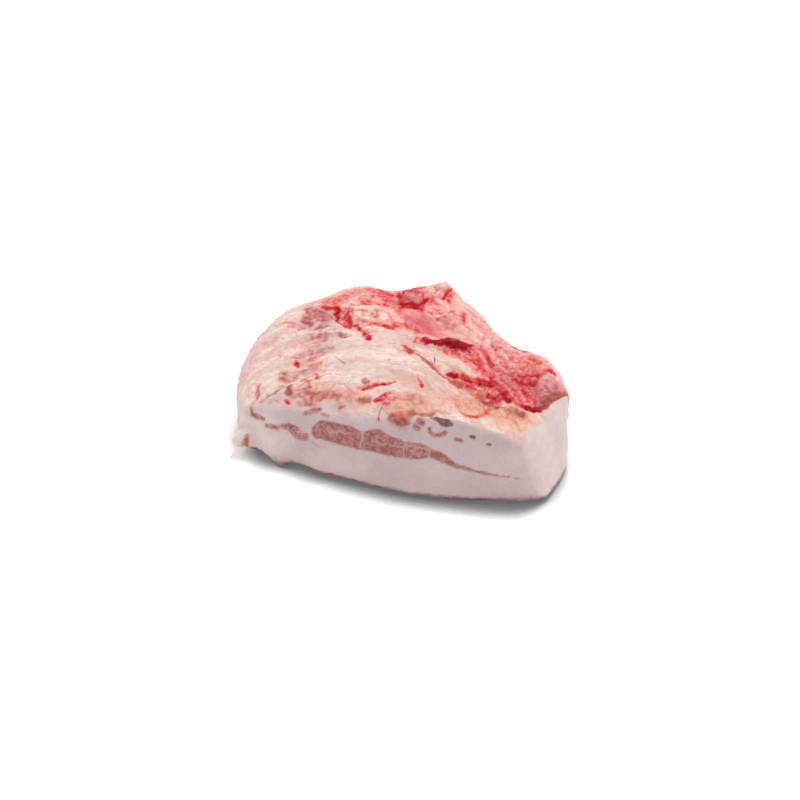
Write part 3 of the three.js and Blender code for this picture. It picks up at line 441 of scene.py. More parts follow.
# Folds of the top: height of a ridge, or depth of a groove below 0, and x, y and width along each.
TOP_FOLDS = [
    (-0.3, (0, 2, 3), (11, -3, 3), (21, -10.5, 3.4), (34, -21, 3)),
    (0.5, (2, 5, 4), (13, 0, 4), (23, -7, 4), (33, -14, 4)),
    (-0.4, (35, -19, 3.4), (41, -26, 3.6), (48, -31, 3)),
    (0.5, (38, -29, 6), (48, -35, 6), (58, -40, 6)),
    (0.2, (35, -12, 6), (45, -11, 8), (56, -9.5, 6)),
    (-0.6, (40, -19, 4), (48, -21, 5), (54, -22, 5)),
    (0.7, (42, -24, 3), (44, -26, 3)),
    (0.7, (48, -26, 3), (52, -29, 3)),
    (-1.0, (58, -20, 3), (59, -30, 3)),
    (0.55, (62.6, -22, 4), (63.6, -34, 4)),
    (-0.9, (66, -26, 2.6), (66.4, -36, 2.6)),
    (0.8, (69, -25, 4.4), (69.6, -36, 4.4)),
    (0.9, (71, -21, 4), (77, -25, 5)),
    (-0.8, (57, 14, 4), (61, 5, 4.6), (65, -7, 4.6), (66, -18, 4)),
    (-0.9, (50, 19, 3), (56, 12, 3)),
    (0.7, (70, 8, 6), (74, -2, 6)),
    (-0.8, (72, 0, 3), (79, -4, 3.4), (86, -12, 3), (90, -20, 3)),
    (-0.8, (56, 28, 3), (61, 18, 3.4), (66, 12, 3)),
    (-1.0, (84, -3, 5), (90, -8, 6)),
    (-1.0, (94, 0, 3), (96, -8, 3.4), (96, -17, 3.4), (101, -25, 3.4)),
    (1.0, (103, 2, 8), (108, -5, 9), (108, -14, 9)),
    (0.7, (112, -14, 6), (106, -22, 6)),
    (-1.2, (92, -34, 3.4), (99, -36, 3.6), (106, -30, 3)),
    (1.2, (82, -37, 8), (84, -40, 8)),
    (0.9, (90, -38, 6), (93, -41, 6)),
    (-0.7, (74, -34, 3), (75, -42, 3)),
    (0.8, (70, -45, 3), (69.4, -53, 3), (65, -57.4, 3), (57, -58.6, 3)),
    (0.9, (0, 46.6, 4.6), (8, 44.6, 4.6), (16, 46, 4.6), (25, 50, 4.6)),
    (-0.8, (-2, 50, 3.4), (6, 48, 3.4), (15, 50, 3.4)),
    (-1.2, (-19.6, 66, 4), (-18.4, 57, 4.4), (-14, 52.4, 4.4), (-5, 52.8, 4.4), (-0.6, 60, 3.6)),
    (0.9, (-16, 70, 4), (-15, 60, 4), (-10, 57, 4), (-5, 60, 4), (-4, 70, 4)),
    (-1.0, (13.6, 76, 3.4), (12.4, 66, 3.4)),
    (-0.9, (2.6, 75, 3), (6.4, 70.6, 3), (5, 66.4, 3)),
    (0.9, (0, 77, 4), (2.4, 69, 4), (6, 64.6, 4)),
    (-0.7, (29.6, 54, 3), (32, 44, 3)),
    (-0.9, (-68, 40, 4), (-60, 39, 5), (-56, 28, 5), (-47, 22, 5), (-36, 17, 4.4), (-27, 8, 4)),
    (0.8, (-58, 47, 6), (-50, 40, 6), (-42, 30, 6), (-34, 24, 5)),
    (0.6, (-71, 9, 2.4), (-68, 16, 2.4), (-63, 21, 2.4), (-57, 21, 2.4)),
    (0.6, (-70, 7.4, 3), (-60, 7.4, 3), (-52, 10, 3)),
    (-0.7, (-84, 26, 5), (-78, 22, 6), (-72, 17, 5)),
    (-0.5, (-49, 9, 5), (-42, 5, 4)),
    (-0.6, (-44, -19, 2), (-36, -23, 2.4)),
    (-1.0, (-90, -46, 4), (-88.6, -58, 4), (-92, -65, 3)),
    (-0.8, (-85, -61, 2.6), (-78, -54.6, 3), (-71, -48, 2.6)),
    (0.6, (-86, -57, 4), (-79, -51, 4), (-73, -46, 4)),
    (-0.9, (-20, -46, 3), (-10, -42.4, 4), (3, -37.5, 2.4)),
    (0.5, (-20, -41, 4), (-8, -38, 4)),
    (-0.6, (20, -33, 3), (23, -39, 3)),
    (0.7, (12, -66, 8), (22, -64, 8)),
    (-0.5, (-30, 40, 2.4), (-27, 31, 2.4)),
    (-0.5, (-22, 40, 2.4), (-18, 32, 2.4)),
    (0.6, (-28, 23, 4), (-13, 22.6, 5)),
]

# Marks on the front cut, in x and z: the streak of lean with its thin tail, the spots and glands above it,
# and where the lean is marbled.
FRONT_MARKS = [
    ("lean", 1, (-42.6, 28.6, 3), (-41, 31.4, 9), (-37, 33.8, 12), (-30, 33.8, 13), (-20, 33.8, 13.4),
     (-13, 33.6, 12)),
    ("lean", 1, (-12, 32, 10.4), (-6, 33.8, 12.6), (2, 35.4, 15.4), (9, 34.2, 13), (17, 33.8, 12),
     (19.4, 33.6, 11.4)),
    ("lean", 1, (22.4, 33.8, 11), (30, 33.8, 10.8), (34, 33.8, 9), (36, 33.6, 7)),
    ("lean", 1, (39, 33, 5), (44, 32, 6.4), (50, 29.4, 5), (56, 26.8, 3.4)),
    ("lean", 1, (56, 26.6, 3), (62, 25.8, 2.8), (68, 25, 2.2)),
    ("lean", 1, (70, 24.8, 2.2), (75, 24, 2.6), (80, 23.4, 1.8), (84, 23, 1.8)),
    ("lean", 0.8, (86, 22.6, 1.3), (91, 22.2, 1.2)),
    ("lean", 0.8, (95, 21, 1.4), (97, 20.8, 1)),
    ("lean", 1, (-90, 35, 1.6), (-89, 32, 3.2), (-85, 31, 4), (-80.6, 30.4, 2.2)),
    ("lean", 1, (-79, 26.4, 2.6), (-75, 26.6, 3.6), (-70, 27.2, 2.6)),
    ("lean", 1, (-67, 29, 2.4), (-62, 29.4, 5), (-57, 29.6, 4.6)),
    ("lean", 1, (-59, 26.4, 3.4), (-55, 25, 4.6), (-50.4, 25.4, 4.6), (-48.4, 27, 3)),
    ("streak", 0.7, (-91, 41, 3), (-90, 36, 3), (-88, 32, 4)),
    ("streak", 0.75, (-70, 28, 3), (-62, 29.4, 7), (-56, 27, 7), (-50, 26, 6)),
    ("streak", 0.6, (-47, 24.6, 2.4), (-40, 22.6, 2), (-34, 22.4, 1.4)),
    ("streak", 0.6, (-53, 39.6, 1.6), (-50, 41.6, 2), (-46, 43.4, 2.6), (-40, 44.4, 2)),
    ("streak", 0.7, (-40, 43.6, 1.6), (-36, 43.2, 1.8)),
    ("raw", 0.7, (-50, 41.6, 1.2), (-46, 43.4, 2.4), (-42, 44.6, 1.4)),
    ("streak", 0.45, (-34, 47.4, 1.4), (-26, 46.6, 1.4), (-18, 47, 1.2)),
    ("streak", 0.35, (0, 28.2, 1.4), (14, 27.4, 1.4), (26, 28, 1.2)),
    ("streak", 0.3, (26, 27.4, 1.4), (34, 26, 1.4)),
    ("streak", 0.4, (-34, 26.8, 2.4), (-18, 27.6, 2), (-4, 28, 1.6)),
    ("lean", 1, (26, 49.2, 3), (28.6, 48.2, 3.4)),
    ("lean", 1, (28.4, 52.4, 3.2), (31, 51.8, 3.4)),
    ("lean", 1, (36, 48.8, 2.8), (36.8, 46.6, 3), (38.4, 45.6, 2)),
    ("lean", 1, (40.8, 45.4, 2.6), (44, 46, 3), (46.6, 47.6, 3.4)),
    ("lean", 1, (54.4, 44.6, 2.4), (57.4, 44.2, 3)),
    ("gland", 1, (63.8, 48, 2.4), (66, 48, 2.6)),
    ("gland", 0.8, (76, 45, 2), (77.4, 45, 1.6)),
    ("gland", 1, (35.6, 55.4, 1), (38, 55.4, 2), (41, 55, 2.6), (44, 53.8, 4.4), (47.4, 53.6, 5),
     (50, 53.4, 2.4)),
    ("streak", 0.35, (25, 50.6, 1.4), (23, 49, 1)),
    ("plum", 0.8, (1, 49.6, 1.4), (1.4, 48.8, 1.4)),
    ("brown", 0.9, (8, 50.8, 3), (14, 50.4, 5), (21, 50.8, 4)),
    ("raw", 0.5, (10, 50.6, 1.6), (15, 50, 2.4), (20, 50.4, 1.6)),
    ("streak", 0.5, (8, 48, 2), (14, 47.4, 3), (20, 48, 2)),
    ("marbled", 0.9, (-79, 27, 8), (-62, 28, 10), (-50, 25, 9)),
    ("marbled", 0.6, (-90, 33, 5), (-82, 30.6, 5)),
    ("marbled", 0.5, (-36, 34, 6), (-24, 33, 7)),
    ("marbled", 0.6, (0, 35.4, 5), (12, 35, 6), (34, 34, 7)),
    ("marbled", 0.6, (56, 26.6, 6), (97, 21, 5)),
]

# Lines of fat through the lean, in x and z.
FAT_LINES = [
    ("pale_line", 0.5, (-34.6, 36.6, 0.8), (-33.6, 33.6, 1), (-28, 34, 1.2), (-25, 36, 1.1)),
    ("pale_line", 0.6, (-25, 36, 1.3), (-22, 34.6, 1), (-18, 36, 0.9)),
    ("pale_line", 0.8, (-4.4, 42.4, 1), (-8, 40.4, 1.4), (-9.4, 38, 1.8), (-8.4, 35, 1.8),
     (-9.6, 31.4, 1.4), (-9.8, 28.8, 1)),
    ("pale_line", 0.5, (0.6, 37.4, 0.9), (2, 34.6, 1.2), (6, 34, 1.2), (9, 36, 0.8)),
    ("pale_line", 0.55, (20.2, 41, 1), (21.4, 37.6, 1.4), (20, 34.4, 1.3), (20.8, 30, 1)),
    ("pale_line", 0.5, (22, 37, 0.8), (27, 36.4, 1), (31, 36.2, 1.1), (35, 35.6, 0.8)),
    ("pale_line", 0.4, (36.4, 37.6, 1), (38, 34.4, 1.2), (37, 30.6, 1)),
    ("pale_line", 0.6, (-86, 33, 0.8), (-84, 29, 1)),
    ("pale_line", 0.8, (-77, 29, 0.8), (-76, 24, 1)),
]

# Places of the front cut that are creamier, in x and z: how strong, middle, half sizes and turn.
FRONT_TINTS = [
    (0.9, -84, 22, 34, 24, 0),
    (0.15, -40, 12, 60, 9, -2),
    (0.3, -20, 44, 34, 5, 3),
]

# The torn lower edge of the front cut and the flap at its left end, in x and z.
BASE_MARKS = [
    ("edge", 0.4, (-84, 6.4, 2), (-72, 5, 2.4), (-62, 4, 2)),
    ("mauve", 0.3, (-72, 7.4, 3), (-64, 6.4, 6), (-56, 5.4, 3)),
    ("edge", 0.8, (-60.4, 5.6, 2.4), (-57.6, 4, 2.2)),
    ("edge", 0.5, (-52, 4.4, 1.6), (-40, 4, 1.8), (-30, 3.8, 1.4)),
    ("edge", 0.8, (-36, 4.8, 1.4), (-26, 4.6, 2.4), (-18, 4.2, 2.4), (-6, 4, 1.4)),
    ("edge", 0.4, (41, 4.6, 1.4), (42, 4, 1.2)),
    ("edge", 0.5, (82, 5, 1.6), (83, 3.6, 1.4)),
    ("mauve", 0.3, (100, 4.6, 3), (105, 5.6, 4), (109, 8, 2)),
    ("salmon", 0.3, (108, 5, 4), (114, 7, 5), (116, 9, 4)),
    # the flap at the left end: the brown mark is painted shade in its fold's groove, and the pale one a
    # painted highlight along the fold's ridge
    ("brown", 0.8, (-91.6, 17, 2), (-93, 12, 5), (-94, 8, 5)),
    ("salmon", 0.35, (-94, 13, 5), (-90, 9, 6), (-86, 8, 4)),
    ("pale", 1, (-91, 21.6, 3), (-95.6, 18, 5), (-99.6, 14, 6), (-101, 11, 5)),
]

# Folds of the front cut's left end and upper rim, as for the top but in x and z.
FRONT_FOLDS = [
    (2.2, (-92.6, 21, 4), (-96.4, 18, 5), (-100, 14, 6), (-101, 10, 5)),
    (-1.8, (-90.6, 17, 4), (-93, 12, 5.4), (-94, 7.6, 5)),
    (1.0, (-90, 9, 5), (-84, 8, 4)),
    (-0.5, (-90, 36, 4), (-88, 31, 4), (-81, 30, 3)),
    (0.9, (14, 52.4, 6), (21, 53, 6)),
]

# The fields that are amounts, those that are depths in mm inside a mark, and those of thin lines.
AMOUNTS = [
    "blood", "muscle", "raw", "pale", "streak", "marbled", "warm", "mottle", "smooth", "crumbly", "cream",
    "clear",
]
DEPTHS = ["clot", "lean", "gland"]
LINES = ["red_line", "dark_line", "pale_line"]


def smoothstep(value, low, high):
    share = np.clip((value - low) / (high - low), 0, 1)
    return share * share * (3 - 2 * share)


def scattered(i, j, k, seed):
    """Repeatable random numbers from 0 to 1 for places given as whole numbers."""
    n = (i * 73856093) ^ (j * 19349663) ^ (k * 83492791) ^ (seed * 50331653)
    for _ in range(2):
        n = n & 0xFFFFFFFF
        n = (n ^ (n >> 16)) * 0x45D9F3B
    n = n & 0xFFFFFFFF
    return ((n ^ (n >> 16)) & 0xFFFFFF) / 0x1000000


def noise(points, grain, seed):
    """Smooth random values from -1 to 1. The grain is a size in mm, or one size for each axis."""
    places = points / grain
    low = np.floor(places).astype(np.int64)
    share = places - low
    share = share**3 * (share * (share * 6 - 15) + 10)
    total = np.zeros(len(points))
    for corner in itertools.product((0, 1), repeat=3):
        weight = np.prod(np.where(corner, share, 1 - share), axis=1)
        total += weight * scattered(*(low + corner).T, seed)
    return 2 * total - 1


def rough_noise(points, grain, seed, octaves=3):
    """Noise with finer and weaker layers on top."""
    total = np.zeros(len(points))
    for octave in range(octaves):
        total += noise(points, np.asarray(grain) / 2**octave, seed + octave) / 2**octave
    return total / (2 - 2 / 2**octaves)


def pillows(points, size, seed):
    """Rounded cushions side by side, 1 on top and 0 in the grooves between them."""
    places = points / size
    low = np.floor(places).astype(np.int64)
    nearest = np.full(len(points), np.inf)
    second = np.full(len(points), np.inf)
    for corner in itertools.product((-1, 0, 1), repeat=3):
        cell = low + corner
        centre = cell + np.stack([scattered(*cell.T, seed + axis) for axis in range(3)], axis=1)
        distance = np.linalg.norm(places - centre, axis=1)
        second = np.minimum(second, np.maximum(nearest, distance))
        nearest = np.minimum(nearest, distance)
    return smoothstep(second - nearest, 0, 0.55)


def straight_parts(u, v, line):
    """For each straight part of a line, how far each place lies from it and its half width there, in mm, and
    whether the place is on its left."""
    for (au, av, a_width), (bu, bv, b_width) in zip(line, line[1:]):
        along_u, along_v, from_u, from_v = bu - au, bv - av, u - au, v - av
        length2 = max(along_u**2 + along_v**2, 1e-9)
        t = np.clip((from_u * along_u + from_v * along_v) / length2, 0, 1)
        distance = np.hypot(from_u - t * along_u, from_v - t * along_v)
        yield distance, (a_width + t * (b_width - a_width)) / 2, along_u * from_v > along_v * from_u


def stroke(u, v, line):
    """How far each place lies inside a stroke, in mm: positive inside, negative outside."""
    if len(line) == 1:
        line = line * 2
    return np.max([half - distance for distance, half, _ in straight_parts(u, v, line)], axis=0)


def spot(u, v, middle_u, middle_v, half_length, half_width, turn):
    """1 in the middle of an ellipse, falling softly to 0 on its rim."""
    angle = math.radians(turn)
    du, dv = u - middle_u, v - middle_v
    along = (du * math.cos(angle) + dv * math.sin(angle)) / half_length
    across = (dv * math.cos(angle) - du * math.sin(angle)) / half_width
    return 1 - smoothstep(np.hypot(along, across), 0.35, 1)


def read(collection, name, size):
    """One property of the mesh's points or edges, as a row of numbers for each."""
    values = np.zeros(len(collection) * size, np.int32 if name == "vertices" else np.float32)
    collection.foreach_get(name, values)
    return values.reshape(-1, size).astype(float)


def move_to(mesh, points):
    mesh.vertices.foreach_set("co", (points * MM).astype(np.float32).ravel())
    mesh.update()


def fine_surface(node):
    """A copy of the solid's surface in small even cells, smoothed."""
    mesh = node.data.copy()
    work = bmesh.new()
    work.from_mesh(mesh)
    bmesh.ops.remove_doubles(work, verts=work.verts, dist=0.01 * MM)
    work.to_mesh(mesh)
    work.free()
    piece = bpy.data.objects.new("jowl_meat", mesh)
    bpy.context.scene.collection.objects.link(piece)
    remesh = piece.modifiers.new("remesh", "REMESH")
    remesh.mode = "VOXEL"
    remesh.voxel_size = CELL * MM
    smooth = piece.modifiers.new("smooth", "SMOOTH")
    smooth.factor = SMOOTH_SHARE
    smooth.iterations = SMOOTH_TIMES
    evaluated = piece.evaluated_get(bpy.context.evaluated_depsgraph_get())
    fine = bpy.data.meshes.new_from_object(evaluated)
    piece.modifiers.clear()
    piece.data = fine
    fine.name = "jowl_meat"
    fine.materials.clear()
    fine.shade_smooth()
    return piece


def add_mark(fields, kind, share):
    """Adds what a kind of mark holds. The stronger of two marks shows, and a little of the weaker."""
    for name, amount in KINDS[kind].items():
        part = amount * share
        if name == "warm":
            fields[name] += part
        else:
            fields[name] = np.maximum(fields[name], part) + WEAKER_SHARE * np.minimum(fields[name], part)


def add_marks(fields, marks, u, v, on):
    """Adds the marks of one table where it applies. Kinds that are depths keep their distance in mm."""
    for kind, strength, *line in marks:
        inside = stroke(u, v, line)
        if kind in DEPTHS:
            fields[kind] = np.maximum(fields[kind], np.where(on > 0.02, inside, OUTSIDE))
            continue
        soft = SOFT_LEAST + SOFT_SHARE * max(width for _, _, width in line)
        if marks is TOP_MARKS and "muscle" in KINDS[kind]:
            soft *= MUSCLE_SOFTER
        add_mark(fields, kind, strength * on * smoothstep(inside, -soft, soft))


def add_lines(fields, tables):
    """Adds the thin lines of each table along its two axes, where it applies. The field "across" counts half
    widths from the nearest line, below 0 on its left, so it passes through 0 on the line itself."""
    apart = np.full(len(fields["across"]), FAR)
    for lines, u, v, on in tables:
        for kind, strength, *line in lines:
            for distance, half, left in straight_parts(u, v, line):
                counted = np.where(left, -distance, distance) / half
                nearer = (distance < apart) & (on > 0.1)
                fields["across"] = np.where(nearer, counted, fields["across"])
                apart = np.where(nearer, distance, apart)
                here = strength * on * (1 - smoothstep(distance, half + 0.7, half + 1.7))
                fields[kind] = np.maximum(fields[kind], here)


def cut_faces(place, wander, normals):
    """How much each place belongs to the front cut and to the right cut."""
    x, y, _ = place.T
    ahead, right = -normals[:, 1], normals[:, 0]
    near_corner = smoothstep(x, 52, 72)
    turned_ahead = ahead + 0.2 * wander[:, 2] + 0.2 * near_corner
    front = smoothstep(turned_ahead, 0.26, 0.66) * smoothstep(-y, 52, 58)
    side = smoothstep(right + 0.2 * wander[:, 1], 0.28, 0.6) * smoothstep(x, 94, 101)
    side *= 1 - smoothstep(y, -6, 2)
    past_edge = x + 0.5 * wander[:, 1] - np.interp(y, *zip(*SIDE_EDGE))
    beyond = smoothstep(past_edge, -0.8, 0.8) * smoothstep(y, -46, -40) * (1 - smoothstep(y, -9, -6))
    return front, np.maximum(side * (1 - smoothstep(y, -40, -34)), beyond)


def wall_stains(place, ragged_height, up):
    """1 where blood may stain the fat, and little low down on the rear wall and behind the right cut."""
    behind = smoothstep(place[:, 1], -17, -11) * smoothstep(place[:, 0], -100, -76)
    wall = behind * (1 - smoothstep(up, 0.2, 0.5))
    return 1 - 0.9 * wall * (1 - smoothstep(ragged_height, *WALL_STAINS))


def painted_fields(points, normals):
    """The marks and tints as fields over the surface."""
    place = points - np.array(DRAWING_ZERO)
    wander = np.stack([rough_noise(place, 4.0, seed) for seed in (11, 21, 31)], axis=1)
    ripple = np.stack([noise(place, 1.8, seed) for seed in (14, 24, 34)], axis=1)
    x, y, z = (place + 0.9 * wander + 0.45 * ripple).T
    even_x, _, even_z = (place + 0.35 * wander).T
    calm_x, calm_y, calm_z = (place + 0.6 * wander).T
    up, ahead = normals[:, 2], -normals[:, 1]
    fields = {name: np.zeros(len(points)) for name in AMOUNTS + LINES}
    fields.update({name: np.full(len(points), OUTSIDE) for name in DEPTHS})
    fields["across"] = np.full(len(points), FAR)

    front, side = cut_faces(place, wander, normals)
    top = smoothstep(up, 0.1, 0.45) * (1 - side)
    fields["cut"] = np.maximum(front, side)
    fields["under"] = smoothstep(-up, 0.55, 0.85)
    off_cut, off_skin = 1 - fields["cut"], 1 - fields["under"]
    fields["rind_and_shade"] = 1 - smoothstep(place[:, 2] + 1.2 * wander[:, 0], *RIND_AND_SHADE_END)
    # painted shade: the steep walls of the fat are marked to be painted darker and pinker
    fields["steep_shade"] = (1 - smoothstep(up + 0.08 * wander[:, 0], 0.2, 0.8)) * off_cut * off_skin

    tinted = off_cut * off_skin * wall_stains(place, z + 9 * wander[:, 0] + 5 * ripple[:, 0], up)
    for name, tints in TOP_TINTS.items():
        for strength, *ellipse in tints:
            part = strength * tinted * spot(x, y, *ellipse)
            fields[name] = fields[name] + part if name == "warm" else np.maximum(fields[name], part)
    fields["cream"] = 0.5 * side
    for strength, *ellipse in FRONT_TINTS:
        fields["cream"] = np.maximum(fields["cream"], strength * front * spot(x, z, *ellipse))

    add_marks(fields, TOP_MARKS, x, y, top)
    add_marks(fields, FRONT_MARKS, even_x, even_z, front)
    add_marks(fields, BASE_MARKS, x, z, smoothstep(ahead, 0.2, 0.5))
    fields["blood"] *= 1 - LUMP_COVERS * np.clip(fields.pop("clear"), 0, 1)
    add_lines(fields, ((TOP_LINES, calm_x, calm_y, top), (FAT_LINES, calm_x, calm_z, front)))
    fields["warm"] = np.clip(fields["warm"], -1, 1)
    return fields


def folds(u, v, marks):
    total = np.zeros(len(u))
    for height, *line in marks:
        half = max(width for _, _, width in line) / 2
        total += height * smoothstep(stroke(u, v, line), -0.3 * half, half)
    return total


def relief(points, normals, fields):
    """The small relief along the surface's normals, in mm. Its strands, patches and grooves become fields for
    the paint, the grooves also for painted shade, and the blood thins on its crumbs and threads."""
    place = points - np.array(DRAWING_ZERO)
    wander = np.stack([rough_noise(place, 5.0, seed) for seed in (15, 25, 35)], axis=1)
    x, y, z = (place + 0.8 * wander).T
    cut, crumbly = fields["cut"], fields["crumbly"]
    up, ahead = normals[:, 2], -normals[:, 1]
    clot = smoothstep(fields["clot"], -0.8, 1.2)
    red = smoothstep(fields["blood"], 0.6, 1.3)
    rough = (1 - cut) * (1 - 0.9 * fields["smooth"]) * (1 - 0.85 * clot) * (1 - fields["under"])

    # the strands run up to the right on the left half and down to the right beyond it
    arched = np.stack([x, y + 0.006 * (x + 18) ** 2, z], axis=1)

    def along_strands(length, width, seed):
        return rough_noise(arched, (length, width, length), seed)

    strands = along_strands(14.0, 3.2, 41)
    lumps = np.abs(along_strands(11.0, 6.0, 51))
    threads = along_strands(13.0, 4.4, 81)
    patches = along_strands(28.0, 10.0, 161)
    crumbs = pillows(place, 3.6, 55)
    grains = rough_noise(place, 2.4, 61)
    creases = 1 - smoothstep(np.abs(along_strands(16.0, 5.0, 131)), 0, 0.11)
    creases = creases * smoothstep(noise(place, 13.0, 141), -0.3, 0.4)

    # the trimmed fat: strands, lumps, grains and creases, crumbs, and raised threads in the blood
    height = rough * (0.34 * strands + 1.6 * (lumps - 0.25) + 0.14 * grains - 0.2 * creases)
    height += rough * (0.12 + 0.1 * red + 0.35 * crumbly) * (crumbs - 0.6)
    height += rough * (0.2 + red) * 0.6 * threads
    gathered = crumbly * (0.25 - 0.6 * crumbs)
    fields["blood"] = fields["blood"] * (1 + gathered - 0.5 * threads * (1 - fields["smooth"]))

    # the folds, the clot, the lines and the lean, which lies a little lower than the fat around it
    folded = (1 - cut) * smoothstep(up, 0.1, 0.45) * folds(x, y, TOP_FOLDS)
    height += folded
    height += smoothstep(ahead, 0.2, 0.5) * folds(x, z, FRONT_FOLDS)
    height += 0.9 * clot + 0.35 * clot * noise(place, (4.0, 1.8, 2.0), 91)
    height -= 0.3 * fields["dark_line"]
    height -= cut * 0.2 * smoothstep(fields["lean"], -0.5, 0.5)
    height += cut * (0.12 * noise(place, 9.0, 101) + 0.05 * noise(place, 3.0, 105))

    # the steep walls and the rind
    walls = (1 - smoothstep(up, 0.1, 0.45)) * (1 - cut) * (1 - fields["under"])
    height += walls * 0.9 * rough_noise(place, (6.0, 6.0, 15.0), 111)
    height += fields["rind_and_shade"] * 0.6 * rough_noise(place, (7.0, 7.0, 3.0), 121)

    fields["strand"] = strands
    # the fat's patches of tone, made creamier on the folds' ridges as a painted highlight
    fields["patch_and_highlight"] = patches - 0.5 * np.clip(folded, 0, 1)
    # the hollows of the relief, where blood gathers and where the paint puts painted shade
    hollows_and_shade = 0.55 * (1 - smoothstep(lumps, 0, 0.2)) + (0.3 + 0.3 * crumbly) * (1 - crumbs)
    for part in (0.25 * np.maximum(-strands, 0), 0.22 * creases, np.maximum(-folded, 0) * 0.6):
        hollows_and_shade += part
    fields["groove_and_shade"] = rough * np.clip(hollows_and_shade, 0, 1)
    return height


def nearness(points, line, reach):
    """1 on a line in space and 0 beyond the reach."""
    nearest = np.full(len(points), np.inf)
    for start, end in zip(line, line[1:]):
        start, along = np.array(start), np.subtract(end, start)
        t = np.clip((points - start) @ along / (along @ along), 0, 1)
        nearest = np.minimum(nearest, np.linalg.norm(points - start - t[:, None] * along, axis=1))
    return 1 - smoothstep(nearest, 0.3 * reach, reach)


def rounded_over(points, mesh):
    """The points with the knife edges worn round, by moving each towards the middle of its neighbours."""
    place = points - np.array(DRAWING_ZERO)
    weight = np.zeros(len(points))
    for line, reach, strength in ROUNDED_EDGES:
        weight = np.maximum(weight, strength * nearness(place, line, reach))
    ends = read(mesh.edges, "vertices", 2).astype(int)
    first, second = np.concatenate([ends, ends[:, ::-1]]).T
    count = np.bincount(first, minlength=len(points))
    points = points.copy()
    for _ in range(ROUNDING_TIMES):
        sums = [np.bincount(first, points[second, axis], len(points)) for axis in range(3)]
        middle = np.stack(sums, axis=1) / count[:, None]
        points += ROUNDING_SHARE * weight[:, None] * (middle - points)
    return points


def jowl():
    """The meat's fine surface with its relief and its painted fields."""
    piece = fine_surface(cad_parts["jowl"])
    mesh = piece.data
    points = rounded_over(read(mesh.vertices, "co", 3) / MM, mesh)
    move_to(mesh, points)
    normals = read(mesh.vertex_normals, "vector", 3)
    fields = painted_fields(points, normals)
    move_to(mesh, points + normals * relief(points, normals, fields)[:, None])
    for name, values in fields.items():
        layer = mesh.attributes.new(name, "FLOAT", "POINT")
        layer.data.foreach_set("value", values.astype(np.float32))
    mesh.update()
    return piece


def colour(red, green, blue):
    """A colour of a screen, 0 to 255, as the linear values that Blender mixes."""
    def linear(value):
        share = value / 255
        return share / 12.92 if share <= 0.04045 else ((share + 0.055) / 1.055) ** 2.4

    return (linear(red), linear(green), linear(blue), 1.0)


class Nodes:
    """Short ways to add the nodes of one material."""

    def __init__(self, name):
        self.material = bpy.data.materials.new(name)
        self.material.use_nodes = True
        self.tree = self.material.node_tree
        self.tree.nodes.clear()

    def add(self, kind, inputs, **settings):
        """A node with settings, and with values or other nodes' outputs on its inputs."""
        node = self.tree.nodes.new(kind)
        for name, value in settings.items():
            setattr(node, name, value)
        for name, value in inputs.items():
            if isinstance(value, bpy.types.NodeSocket):
                self.tree.links.new(value, node.inputs[name])
            else:
                node.inputs[name].default_value = value
        return node

    def maths(self, operation, a, b=0.0):
        return self.add("ShaderNodeMath", {0: a, 1: b}, operation=operation).outputs[0]

    def total(self, *values):
        return functools.reduce(lambda a, b: self.maths("ADD", a, b), values)

    def times(self, *values):
        return functools.reduce(lambda a, b: self.maths("MULTIPLY", a, b), values)

    def ramp(self, value, low, high, to_low=0.0, to_high=1.0):
        inputs = {"Value": value, "From Min": low, "From Max": high, "To Min": to_low, "To Max": to_high}
        return self.add("ShaderNodeMapRange", inputs, interpolation_type="SMOOTHSTEP").outputs["Result"]

    def mix(self, factor, a, b, blend="MIX"):
        inputs = {0: factor, 6: a, 7: b}
        return self.add("ShaderNodeMix", inputs, data_type="RGBA", blend_type=blend).outputs[2]

    def over(self, tone, factor, shade, blend="MIX"):
        """One colour laid over others."""
        return self.mix(factor, tone, colour(*shade), blend)

    def between(self, value, low, high, first, second):
        """From one colour to another as the value rises."""
        return self.mix(self.ramp(value, low, high), colour(*first), colour(*second))

    def steps(self, value, places, shades):
        """From colour to colour as the value passes each place from 0 to 1."""
        node = self.add("ShaderNodeValToRGB", {"Fac": value})
        elements = node.color_ramp.elements
        while len(elements) < len(places):
            elements.new(0.5)
        for element, place, shade in zip(elements, places, shades):
            element.position = place
            element.color = colour(*shade)
        return node.outputs["Color"]

    def finished(self, inputs):
        """The material, with these inputs of its shader."""
        shader = self.add("ShaderNodeBsdfPrincipled", inputs)
        self.add("ShaderNodeOutputMaterial", {"Surface": shader.outputs["BSDF"]})
        return self.material


